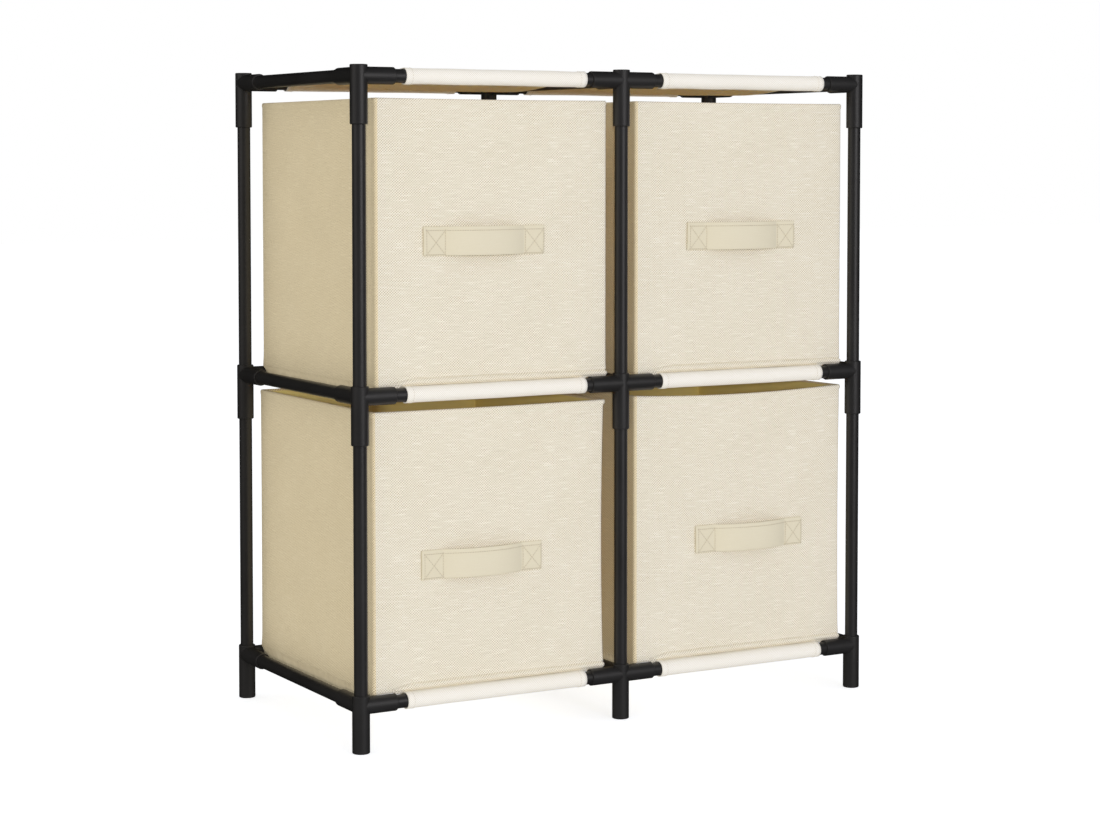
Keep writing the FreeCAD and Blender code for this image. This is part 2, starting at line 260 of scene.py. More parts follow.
@dataclass(frozen=True)
class BlackFinish:
    """Satin black of the frame: powder coat on the tubes, grained plastic on the connectors."""

    name: str
    dark: Colour
    light: Colour
    grain: float
    grain_depth: float
    roughness: Pair
    cloud_scale: float = 14.0
    tone_shares: Pair = (0.6, 0.4)

    def material(self) -> bpy.types.Material:
        """Makes the black.

        Returns:
            A black with fine grain and slow cloudy changes of tone and gloss.
        """
        graph = ShaderGraph(self.name)
        where = graph.place("Object")
        cloud = graph.noise(where, self.cloud_scale, detail=3.0)
        grain = graph.noise(where, 1.0 / self.grain)
        tone = graph.weigh(cloud, grain, self.tone_shares)
        return graph.finish({
            "Base Color": graph.blend(graph.span(tone, *NOISE_MIDDLE), self.dark, self.light),
            "Roughness": graph.span(cloud, *NOISE_MIDDLE, self.roughness),
            "Normal": graph.relief(grain, self.grain_depth),
            "Specular IOR Level": 0.5,
        })


@dataclass(frozen=True)
class WovenFinish:
    """A woven cloth on UV metres: fine twill, uneven yarns and long slubs along the weft."""

    name: str
    shade: Colour
    body: Colour
    light: Colour
    pitch: float
    depth: float
    slub_share: float
    sheer: float = 0.0
    light_path: Colour = (1.0, 0.9, 0.7)
    light_reach: float = 4.0 * MM
    sheen: float = 0.1
    roughness: Pair = (0.95, 0.82)
    tightness: float = 1.12
    diagonals: Pair = (0.58, 0.42)
    uneven_scale: float = 300.0
    uneven_middle: Pair = (0.25, 0.75)
    uneven_height: Pair = (0.75, 0.95)
    slub_scale: Point = (52.0, 760.0, 1.0)
    raised_slubs: Pair = (0.57, 0.70)
    sunk_slubs: Pair = (0.40, 0.28)
    sunk_share: float = 0.3
    slub_rise: float = 0.8
    cloud_scale: float = 14.0
    cloud_middle: Pair = (0.4, 0.75)
    cloud_share: float = 0.12
    patch_scale: Point = (60.0, 90.0, 1.0)
    patch_middle: Pair = (0.36, 0.62)
    faint: float = 0.4
    yarn_heights: Pair = (0.1, 0.55)
    mean_yarn: float = 0.65

    def material(self) -> bpy.types.Material:
        """Makes the cloth.

        Returns:
            A cloth with its twill in colour and relief.
        """
        graph = ShaderGraph(self.name)
        where = graph.place("UV", (1.0, -self.tightness, 1.0))
        rising = graph.yarns(where, self.pitch, "DIAGONAL")
        falling = graph.yarns(graph.place("UV", (1.0, self.tightness, 1.0)), self.pitch, "DIAGONAL")
        weave = graph.weigh(rising, falling, self.diagonals)
        uneven = graph.span(graph.noise(where, self.uneven_scale), *self.uneven_middle, self.uneven_height)
        height = graph.math("MULTIPLY", weave, uneven)
        slub = graph.noise(graph.place("UV", self.slub_scale), 1.0, detail=1.0)
        raised = graph.span(slub, *self.raised_slubs, (0.0, self.slub_share))
        sunk = graph.span(slub, *self.sunk_slubs, (0.0, self.slub_share * self.sunk_share))
        cloud = graph.noise(where, self.cloud_scale, detail=3.0)
        patches = graph.noise(graph.place("UV", self.patch_scale), 1.0)
        contrast = graph.span(patches, *self.patch_middle, (self.faint, 1.0))
        yarn = graph.span(height, *self.yarn_heights, (-self.mean_yarn, 1.0 - self.mean_yarn))
        yarn = graph.math("ADD", graph.math("MULTIPLY", yarn, contrast), self.mean_yarn)
        cloth = graph.blend(yarn, self.shade, self.body)
        cloth = graph.blend(raised, cloth, self.light)
        cloth = graph.blend(sunk, cloth, self.shade)
        pale = graph.span(cloud, *self.cloud_middle, (0.0, self.cloud_share))
        cloth = graph.blend(pale, cloth, self.light)
        lifted = graph.math("ADD", height, graph.math("MULTIPLY", raised, self.slub_rise))
        return graph.finish({
            "Base Color": cloth,
            "Roughness": graph.span(height, *WHOLE, self.roughness),
            "Normal": graph.relief(lifted, self.depth),
            "Sheen Weight": self.sheen,
            "Sheen Roughness": 0.5,
            "Specular IOR Level": 0.2,
            "Subsurface Weight": self.sheer,
            "Subsurface Radius": self.light_path,
            "Subsurface Scale": self.light_reach,
        })


@dataclass(frozen=True)
class ThreadFinish:
    """Twisted sewing thread."""

    name: str
    dark: Colour
    light: Colour
    twist: float = 0.5 * MM
    depth: float = 0.05 * MM
    roughness: Pair = (0.75, 0.6)

    def material(self) -> bpy.types.Material:
        """Makes the thread.

        Returns:
            A thread whose twist shows as fine stripes.
        """
        graph = ShaderGraph(self.name)
        twist = graph.yarns(graph.place("Object"), self.twist, "DIAGONAL")
        return graph.finish({
            "Base Color": graph.blend(twist, self.dark, self.light),
            "Roughness": graph.span(twist, *WHOLE, self.roughness),
            "Normal": graph.relief(twist, self.depth),
            "Sheen Weight": 0.2,
        })


@dataclass(frozen=True)
class LiningFinish:
    """Non-woven lining: pressed fibres with a grid of small bonded dots, on UV metres."""

    name: str
    dark: Colour
    light: Colour
    dot_pitch: float
    dot_edge: Pair = (0.55, 0.8)
    fibre_scale: float = 900.0
    shares: Pair = (0.5, -0.5)
    tones: Pair = (-0.4, 0.4)
    depth: float = 0.15 * MM
    roughness: Pair = (0.85, 0.95)

    def material(self) -> bpy.types.Material:
        """Makes the lining.

        Returns:
            A lining with its fibres and dots.
        """
        graph = ShaderGraph(self.name)
        where = graph.place("UV", turn=math.radians(45.0))
        across = graph.yarns(where, self.dot_pitch, "X")
        along = graph.yarns(where, self.dot_pitch, "Y")
        dots = graph.span(graph.math("MULTIPLY", across, along), *self.dot_edge)
        fibres = graph.noise(where, self.fibre_scale, detail=4.0)
        height = graph.weigh(fibres, dots, self.shares)
        return graph.finish({
            "Base Color": graph.blend(graph.span(height, *self.tones), self.dark, self.light),
            "Roughness": graph.span(fibres, *NOISE_MIDDLE, self.roughness),
            "Normal": graph.relief(height, self.depth),
            "Specular IOR Level": 0.25,
        })


@dataclass(frozen=True)
class BoardFinish:
    """Pressed fibreboard that stiffens the bins."""

    name: str
    dark: Colour
    light: Colour
    fleck_stretch: Point = (1.0, 1.0, 3.0)
    fleck_scale: float = 260.0
    cloud_scale: float = 30.0
    tone_shares: Pair = (0.7, 0.3)
    tone_middle: Pair = (0.35, 0.65)
    depth: float = 0.1 * MM
    roughness: Pair = (0.8, 0.92)

    def material(self) -> bpy.types.Material:
        """Makes the board.

        Returns:
            A brown board with flecks of fibre.
        """
        graph = ShaderGraph(self.name)
        flecks = graph.noise(graph.place("Object", self.fleck_stretch), self.fleck_scale, detail=5.0)
        cloud = graph.noise(graph.place("Object"), self.cloud_scale)
        tone = graph.span(graph.weigh(flecks, cloud, self.tone_shares), *self.tone_middle)
        return graph.finish({
            "Base Color": graph.blend(tone, self.dark, self.light),
            "Roughness": graph.span(cloud, *NOISE_MIDDLE, self.roughness),
            "Normal": graph.relief(flecks, self.depth),
        })


class Finishes:
    """The finishes of the dresser, each made once."""

    def __init__(self) -> None:
        """Makes every material."""
        blacks = ((0.0150, 0.0142, 0.0135), (0.0230, 0.0220, 0.0210))
        self.coat = BlackFinish(
            "tube_powder_coat", *blacks, grain=0.6 * MM, grain_depth=0.03 * MM, roughness=(0.36, 0.44)
        ).material()
        self.moulding = BlackFinish(
            "connector_moulding", *blacks, grain=0.9 * MM, grain_depth=0.05 * MM, roughness=(0.40, 0.50)
        ).material()
        self.linen = WovenFinish(
            "bin_linen_twill", (0.46, 0.38, 0.245), (0.955, 0.897, 0.727), (0.97, 0.925, 0.79),
            pitch=2.15 * MM, depth=0.30 * MM, slub_share=0.44,
        ).material()
        # Painted shade: the same twill, deeper and warmer, for the side and back walls, which turn away from
        # the front light.
        self.painted_shade_linen = WovenFinish(
            "bin_linen_twill_deep", (0.46, 0.351, 0.186), (0.96, 0.83, 0.55), (0.97, 0.85, 0.59),
            pitch=2.15 * MM, depth=0.30 * MM, slub_share=0.3,
        ).material()
        self.canvas = WovenFinish(
            "shelf_twill", (0.755, 0.685, 0.535), (0.985, 0.955, 0.865), (0.985, 0.965, 0.90),
            pitch=1.6 * MM, depth=0.22 * MM, slub_share=0.2,
        ).material()
        self.thin_canvas = WovenFinish(
            "shelf_twill_thin", (0.755, 0.675, 0.505), (0.985, 0.945, 0.835), (0.985, 0.955, 0.87),
            pitch=1.6 * MM, depth=0.22 * MM, slub_share=0.2, sheer=0.65,
        ).material()
        self.webbing = WovenFinish(
            "strap_webbing", (0.683, 0.616, 0.440), (0.764, 0.699, 0.517), (0.805, 0.751, 0.586),
            pitch=0.9 * MM, depth=0.08 * MM, slub_share=0.15,
        ).material()
        self.thread = ThreadFinish("sewing_thread", (0.54, 0.475, 0.333), (0.653, 0.58, 0.417)).material()
        self.pale_thread = ThreadFinish(
            "shelf_thread", (0.612, 0.548, 0.417), (0.755, 0.696, 0.56)
        ).material()
        self.lining = LiningFinish(
            "bin_lining", (0.92, 0.765, 0.27), (0.965, 0.85, 0.36), dot_pitch=1.8 * MM
        ).material()
        self.board = BoardFinish("wall_fibreboard", (0.22, 0.15, 0.085), (0.40, 0.29, 0.18)).material()


@dataclass(frozen=True)
class Ripple:
    """Slow seeded unevenness of a cloth: a sum of a few waves."""

    depth: float
    seed: int
    reach: Pair
    waves: int = 7
    stretch: Pair = (1.0, 3.5)
    gain: float = 1.6

    def at(self, u: np.ndarray, v: np.ndarray, period: float = 0.0) -> np.ndarray:
        """Height of the cloth at two coordinates.

        Args:
            u: first coordinate in metres.
            v: second coordinate in metres.
            period: length after which the first coordinate comes round again, or 0.

        Returns:
            Heights in metres, about as large as depth.
        """
        draw = random.Random(self.seed)
        total = np.zeros(np.broadcast(u, v).shape)
        for _ in range(self.waves):
            length = self.reach[0] * draw.uniform(*self.stretch)
            if period:
                length = period / max(round(period / length), 1)
            rise = self.reach[1] * draw.uniform(*self.stretch)
            first, second = draw.uniform(0, 2 * math.pi), draw.uniform(0, 2 * math.pi)
            total += np.cos(2 * math.pi * u / length + first) * np.cos(2 * math.pi * v / rise + second)
        return total * self.depth * self.gain / self.waves


class MeshDraft:
    """Vertices, faces, UVs and material numbers of one piece, collected part by part."""

    def __init__(self) -> None:
        """Starts an empty draft."""
        self.points: list[np.ndarray] = []
        self.faces: list[list[int]] = []
        self.corners: list[Pair] = []
        self.numbers: list[int] = []
        self.count = 0

    def add_points(self, points: np.ndarray) -> int:
        """Adds points.

        Args:
            points: places, in any grid of 3 values each.

        Returns:
            The number of the first one.
        """
        self.points.append(np.asarray(points, float).reshape(-1, 3))
        start = self.count
        self.count += len(self.points[-1])
        return start

    def add_face(self, face: Sequence[int], corners: Sequence[Sequence[float]], number: int = 0) -> None:
        """Adds one face.

        Args:
            face: numbers of its points.
            corners: UV of each of them.
            number: material slot.
        """
        self.faces.append(list(face))
        self.corners.extend((float(u), float(v)) for u, v in corners)
        self.numbers.append(number)

    def add_grid(
        self,
        points: np.ndarray,
        uv: np.ndarray,
        closed: bool,
        numbers: np.ndarray | None = None,
        looped: bool = False,
    ) -> int:
        """Adds a grid of quads.

        Args:
            points: places, rows by columns by 3.
            uv: UVs, rows by columns by 2, with one more column where the grid is closed.
            closed: whether the last column meets the first.
            numbers: material slot of each face, strips by columns, or nothing for slot 0.
            looped: whether the last row meets the first, with one more row of UVs.

        Returns:
            The number of the grid's first point.
        """
        rows, columns = points.shape[:2]
        start = self.add_points(points)
        for i in range(rows if looped else rows - 1):
            for j in range(columns if closed else columns - 1):
                k = (j + 1) % columns
                low, high = start + i * columns, start + (i + 1) % rows * columns
                corners = (uv[i, j], uv[i, j + 1], uv[i + 1, j + 1], uv[i + 1, j])
                number = 0 if numbers is None else int(numbers[i, j])
                self.add_face((low + j, low + k, high + k, high + j), corners, number)
        return start

    def add_fan(self, ring: Sequence[int], centre: Point, number: int, upward: bool) -> None:
        """Closes a level ring of points with triangles round a centre.

        Args:
            ring: numbers of the ring's points, anticlockwise seen from above.
            centre: place of the middle.
            number: material slot.
            upward: whether the fan faces up.
        """
        middle = self.add_points(np.array([centre]))
        places = np.concatenate(self.points)
        for first, second in zip(ring, [*ring[1:], ring[0]]):
            face = (first, second, middle) if upward else (second, first, middle)
            self.add_face(face, [places[i][:2] for i in face], number)

    def piece(self, name: str, materials: Sequence[bpy.types.Material]) -> bpy.types.Object:
        """Makes the object.

        Args:
            name: name of the piece.
            materials: its material slots.

        Returns:
            The new object, linked to the scene, smooth shaded.
        """
        mesh = bpy.data.meshes.new(name)
        mesh.from_pydata(np.concatenate(self.points).tolist(), [], self.faces)
        mesh.uv_layers.new(name="UVMap").data.foreach_set("uv", np.array(self.corners).ravel())
        for material in materials:
            mesh.materials.append(material)
        mesh.polygons.foreach_set("material_index", self.numbers)
        mesh.polygons.foreach_set("use_smooth", [True] * len(self.faces))
        mesh.update()
        made = bpy.data.objects.new(name, mesh)
        bpy.context.scene.collection.objects.link(made)
        log.info("%s: %d faces", name, len(self.faces))
        return made


def settle(piece: bpy.types.Object, body: str, slot: str, *nodes: str) -> bpy.types.Object:
    """Hands a finished piece to the frame.

    Args:
        piece: the piece, in place.
        body: body that it moves with.
        slot: not used.
        nodes: nodes that it stands for.

    Returns:
        The piece.
    """
    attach(piece, body)
    if nodes:
        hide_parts(*nodes)
    return piece


def smoothstep(value: np.ndarray | float, low: float, high: float) -> np.ndarray:
    """A smooth step.

    Args:
        value: where it is read.
        low: value with the step at 0.
        high: value with the step at 1.

    Returns:
        The step's height.
    """
    share = np.clip((np.asarray(value, float) - low) / (high - low), 0.0, 1.0)
    return share * share * (3.0 - 2.0 * share)


@dataclass
class Stitching:
    """Rows of thread stitches along sewn lines, laid by Geometry Nodes."""

    name: str
    material: bpy.types.Material
    pitch: float
    length: float
    thickness: float
    bead_segments: int = 6
    bead_rings: int = 4
    lines: list[np.ndarray] = field(default_factory=list)

    def tree(self) -> tuple[bpy.types.NodeTree, dict[str, str]]:
        """Builds the node tree.

        Returns:
            The tree, and the identifier of each of its named inputs.
        """
        tree = bpy.data.node_groups.new("sewn_stitches", "GeometryNodeTree")
        sockets = tree.interface
        sockets.new_socket("Geometry", in_out="INPUT", socket_type="NodeSocketGeometry")
        kinds = {"Pitch": "Float", "Length": "Float", "Thickness": "Float", "Thread": "Material"}
        names = {}
        for label, kind in kinds.items():
            socket = sockets.new_socket(label, in_out="INPUT", socket_type=f"NodeSocket{kind}")
            names[label] = socket.identifier
        sockets.new_socket("Geometry", in_out="OUTPUT", socket_type="NodeSocketGeometry")
        add = NodeGraph(tree).add
        given = tree.nodes.new("NodeGroupInput").outputs
        line = add("GeometryNodeMeshToCurve", {"Mesh": given["Geometry"]})
        spacing = {"Curve": line.outputs[0], "Length": given["Pitch"]}
        even = add("GeometryNodeResampleCurve", spacing, mode="LENGTH")
        along = add("GeometryNodeInputTangent", {})
        turn = add("FunctionNodeAlignRotationToVector", {"Vector": along.outputs[0]}, axis="Z")
        sphere = {"Segments": self.bead_segments, "Rings": self.bead_rings, "Radius": 0.5}
        bead = add("GeometryNodeMeshUVSphere", sphere)
        sizes = {"X": given["Thickness"], "Y": given["Thickness"], "Z": given["Length"]}
        laid = add("GeometryNodeInstanceOnPoints", {
            "Points": even.outputs[0],
            "Instance": bead.outputs[0],
            "Rotation": turn.outputs[0],
            "Scale": add("ShaderNodeCombineXYZ", sizes).outputs[0],
        })
        real = add("GeometryNodeRealizeInstances", {"Geometry": laid.outputs[0]})
        smooth = add("GeometryNodeSetShadeSmooth", {"Geometry": real.outputs[0]})
        dressing = {"Geometry": smooth.outputs[0], "Material": given["Thread"]}
        dressed = add("GeometryNodeSetMaterial", dressing)
        add("NodeGroupOutput", {0: dressed.outputs[0]})
        return tree, names

    def piece(self) -> bpy.types.Object:
        """Lays the stitches on all the lines.

        Returns:
            The stitches as one plain mesh.
        """
        points = np.concatenate(self.lines)
        edges, start = [], 0
        for line in self.lines:
            edges += [(i, i + 1) for i in range(start, start + len(line) - 1)]
            start += len(line)
        mesh = bpy.data.meshes.new(f"{self.name}_lines")
        mesh.from_pydata(points.tolist(), edges, [])
        made = bpy.data.objects.new(self.name, mesh)
        bpy.context.scene.collection.objects.link(made)
        tree, names = self.tree()
        modifier = made.modifiers.new("stitches", "NODES")
        modifier.node_group = tree
        sizes = {"Pitch": self.pitch, "Length": self.length, "Thickness": self.thickness}
        for label, value in {**sizes, "Thread": self.material}.items():
            modifier[names[label]] = value
        evaluated = made.evaluated_get(bpy.context.evaluated_depsgraph_get())
        sewn = bpy.data.meshes.new_from_object(evaluated)
        made.modifiers.clear()
        made.data = sewn
        log.info("%s: %d faces", self.name, len(sewn.polygons))
        return made


@dataclass
class TubeFrame:
    """The black push-fit frame: its tubes and connectors keep their solids and get their finishes."""

    finishes: Finishes

    def nodes(self) -> dict[str, bpy.types.Material]:
        """Chooses the finishes.

        Returns:
            The finish of every node of the frame.
        """
        found = {}
        for level in Level:
            for kind in ("cross", "side"):
                found[f"{level.value}_{kind}_rails"] = self.finishes.coat
        for row in Row:
            for column in Column:
                for level in Level:
                    found[f"{level.value}_connector_{row.value}_{column.value}"] = self.finishes.moulding
                for tier in Tier:
                    found[f"{tier.value}_upright_{row.value}_{column.value}"] = self.finishes.coat
        return found

    def dress(self) -> None:
        """Puts the finishes on the nodes."""
        for name, material in self.nodes().items():
            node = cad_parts[name]
            node.data.materials.clear()
            node.data.materials.append(material)
            log.info("%s: %s", name, material.name)


@dataclass
class ShelfPanel:
    """A shelf cloth: one sheet between two sewn sleeves that hold the cross rails."""

    level: Level
    bay: Bay
    finishes: Finishes
    ply: float = 0.9 * MM
    slack: float = 0.25 * MM
    seam_share: float = 1.6
    seam_allowance: float = 9.0 * MM
    side_hem: float = 9.0 * MM
    hem_rise: float = 0.35 * MM
    loaded_drop: float = 1.6 * MM
    slack_drop: float = 17.0 * MM
    edge_lift: float = 0.5
    hem_points: int = 4
    free_shares: Pair = (0.35, 0.7)
    turn_points: int = 36
    sheet_points: int = 30
    column_step: float = 3.5 * MM
    left_shift: float = 1.6 * MM
    hem_step: float = 1.5 * MM
    calm_edge: float = 6.0 * MM
    seam_line: float = 2.0 * MM
    thread_rise: float = 0.1 * MM
    least_upward: float = 0.9
    ripple_depth: float = 0.35 * MM
    ripple_reach: Pair = (0.05, 0.03)
    first_seed: int = 40
    level_seeds: int = 7

    def __post_init__(self) -> None:
        """Reads the rails and the panel's width from the frame."""
        self.node = f"{self.level.value}_shelf_panel_{self.bay.value}"
        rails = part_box(f"{self.level.value}_cross_rails")
        tube = (rails[1].z - rails[0].z) / 2
        self.rail_y = rails[1].y - tube
        self.rail_z = (rails[0].z + rails[1].z) / 2
        self.radius = tube + self.slack + self.ply / 2
        self.seam = self.seam_share * self.radius
        low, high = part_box(self.node)
        shift = self.left_shift if self.bay is Bay.LEFT else 0.0
        self.left, self.right = low.x + shift, high.x + shift
        seed = self.first_seed + self.level_seeds * list(Level).index(self.level) + list(Bay).index(self.bay)
        self.ripple = Ripple(self.ripple_depth, seed, self.ripple_reach)
        self.drop = self.slack_drop if self.level is Level.TOP else self.loaded_drop
        self.end_tilt = math.atan2(2.0 * self.drop, self.rail_y)
        self.leave = self.radius * math.sin(self.end_tilt)

    def hang(self, y: float) -> tuple[float, ...]:
        """Place and upward direction of the sheet.

        Args:
            y: distance from the rail's axis towards the middle of the shelf.

        Returns:
            The distance, the height above the axis, the direction along both, and the sag.
        """
        reach = self.rail_y - self.leave
        share = (y - self.leave) / reach
        sunk = self.drop * share * (2.0 - share)
        slope = -2.0 * self.drop * (1.0 - share) / reach
        size = math.hypot(slope, 1.0)
        return y, self.radius * math.cos(self.end_tilt) - sunk, -slope / size, 1.0 / size, sunk

    def half_profile(self) -> list[tuple[float, ...]]:
        """One sleeve and half of the sheet, seen along the rail, from the hem to the middle.

        Returns:
            Rows of (y, z, direction y, direction z, sag), for the front sleeve.
        """
        line = []
        for share in np.linspace(0.0, 1.0, self.hem_points):
            y, z, ny, nz, sunk = self.hang(self.seam + self.seam_allowance * (1.0 - share))
            line.append((y - ny * self.ply, z - nz * self.ply, -ny, -nz, sunk))
        end_y, end_z, *_, end_sunk = line[-1]
        last = math.atan2(end_z, end_y) - math.acos(self.radius / math.hypot(end_y, end_z))
        touch = (math.cos(last) * self.radius, math.sin(last) * self.radius)
        for share in self.free_shares:
            y = end_y + (touch[0] - end_y) * share
            z = end_z + (touch[1] - end_z) * share
            line.append((y, z, math.cos(last), math.sin(last), end_sunk * (1.0 - share)))
        for angle in np.linspace(last, -1.5 * math.pi - self.end_tilt, self.turn_points):
            ny, nz = math.cos(angle), math.sin(angle)
            line.append((ny * self.radius, nz * self.radius, ny, nz, 0.0))
        sheet = np.linspace(self.leave, self.rail_y, self.sheet_points)[1:]
        line += [self.hang(float(y)) for y in sheet]
        return [(y - self.rail_y, z + self.rail_z, *rest) for y, z, *rest in line]

    def surface(self) -> tuple[np.ndarray, np.ndarray, np.ndarray]:
        """The middle of the cloth.

        Returns:
            Places and outward directions, profile by columns by 3, and UVs in metres.
        """
        half = self.half_profile()
        whole = half + [(-y, z, -ny, nz, sunk) for y, z, ny, nz, sunk in half[-2::-1]]
        profile = np.array(whole)
        steps = np.hypot(np.diff(profile[:, 0]), np.diff(profile[:, 1]))
        along = np.concatenate([[0.0], np.cumsum(steps)])
        columns = max(round((self.right - self.left) / self.column_step), 2) + 1
        x = np.linspace(self.left, self.right, columns)
        shape = (len(profile), columns)
        edge = np.minimum(x - self.left, self.right - x)
        lift = self.hem_rise * (1.0 - smoothstep(edge, self.side_hem - self.hem_step, self.side_hem))
        wave = self.ripple.at(x[None, :], along[:, None])
        outward = lift[None, :] + wave * smoothstep(edge, 0.0, self.calm_edge)[None, :]
        side = np.clip((x.mean() - x) / (self.right - self.left) * 2.0, 0.0, 1.0) ** 2
        tight = profile[:, 4, None] * self.edge_lift * side[None, :]
        normal = np.zeros((*shape, 3))
        normal[..., 1] = profile[:, 2, None]
        normal[..., 2] = profile[:, 3, None]
        place = np.empty((*shape, 3))
        place[..., 0] = x[None, :]
        place[..., 1] = profile[:, 0, None] + normal[..., 1] * outward
        place[..., 2] = profile[:, 1, None] + normal[..., 2] * outward + tight
        uv = np.stack(np.broadcast_arrays(x[None, :], along[:, None]), axis=-1)
        return place, normal, uv

    def build(self, stitching: Stitching) -> bpy.types.Object:
        """Makes the cloth and adds its sewn lines to the stitching.

        Args:
            stitching: rows of stitches of the whole frame.

        Returns:
            The shelf cloth.
        """
        place, normal, uv = self.surface()
        draft = MeshDraft()
        upper = normal[:, 0, 2] > self.least_upward
        single = upper & (np.abs(place[:, 0, 1]) < self.rail_y - self.seam - self.seam_allowance)
        thin = (single[:-1] & single[1:])[:, None]
        draft.add_grid(place, uv, False, np.broadcast_to(thin, (len(place) - 1, place.shape[1])))
        cloths = [self.finishes.canvas, self.finishes.thin_canvas]
        cloth = draft.piece(f"{self.level.value}_shelf_cloth_{self.bay.value}", cloths)
        solid = cloth.modifiers.new("cloth_thickness", "SOLIDIFY")
        solid.thickness = self.ply
        solid.offset = 0.0
        raised = place + normal * (self.ply / 2 + self.thread_rise)
        hem = self.side_hem - self.hem_step
        for edge in (self.left + hem, self.right - hem):
            column = int(np.argmin(np.abs(place[0, :, 0] - edge)))
            stitching.lines.append(raised[self.hem_points : -self.hem_points, column])
        for side in (-1.0, 1.0):
            target = side * (self.rail_y - self.seam - self.seam_line)
            away = np.where(upper, np.abs(place[:, 0, 1] - target), 1.0)
            stitching.lines.append(raised[int(np.argmin(away))])
        settle(cloth, "frame", "shelf_fabric", self.node)
        return cloth


@dataclass
class Outline:
    """A rounded rectangle walked anticlockwise from the left end of the front wall."""

    half_width: float
    half_depth: float
    radius: float
    across: int = 68
    along: int = 70
    corner: int = 6

    def walk(self) -> dict[str, np.ndarray]:
        """Points of the outline.

        Returns:
            Arrays x, y, direction_x, direction_y, wall, share from -1 to 1 along the wall, and edge,
            the distance from the nearest upright corner.
        """
        a, b, r = self.half_width, self.half_depth, self.radius
        runs = [
            ((-a + r, -b), (a - r, -b), self.across),
            ((a, -b + r), (a, b - r), self.along),
            ((a - r, b), (-a + r, b), self.across),
            ((-a, b - r), (-a, -b + r), self.along),
        ]
        centres = [(a - r, -b + r), (a - r, b - r), (-a + r, b - r), (-a + r, -b + r)]
        found: list[tuple[float, ...]] = []
        for wall, ((start, end, count), centre) in enumerate(zip(runs, centres)):
            facing = -math.pi / 2 + wall * math.pi / 2
            length = math.dist(start, end)
            for i in range(count):
                share = i / count
                x, y = (s + (e - s) * share for s, e in zip(start, end))
                edge = min(share, 1.0 - share) * length
                found.append((x, y, math.cos(facing), math.sin(facing), wall, 2 * share - 1, edge))
            for i in range(self.corner):
                angle = facing + math.pi / 2 * i / self.corner
                x, y = centre[0] + r * math.cos(angle), centre[1] + r * math.sin(angle)
                found.append((x, y, math.cos(angle), math.sin(angle), wall, 1.0, 0.0))
        names = ("x", "y", "direction_x", "direction_y", "wall", "share", "edge")
        return dict(zip(names, np.array(found).T))


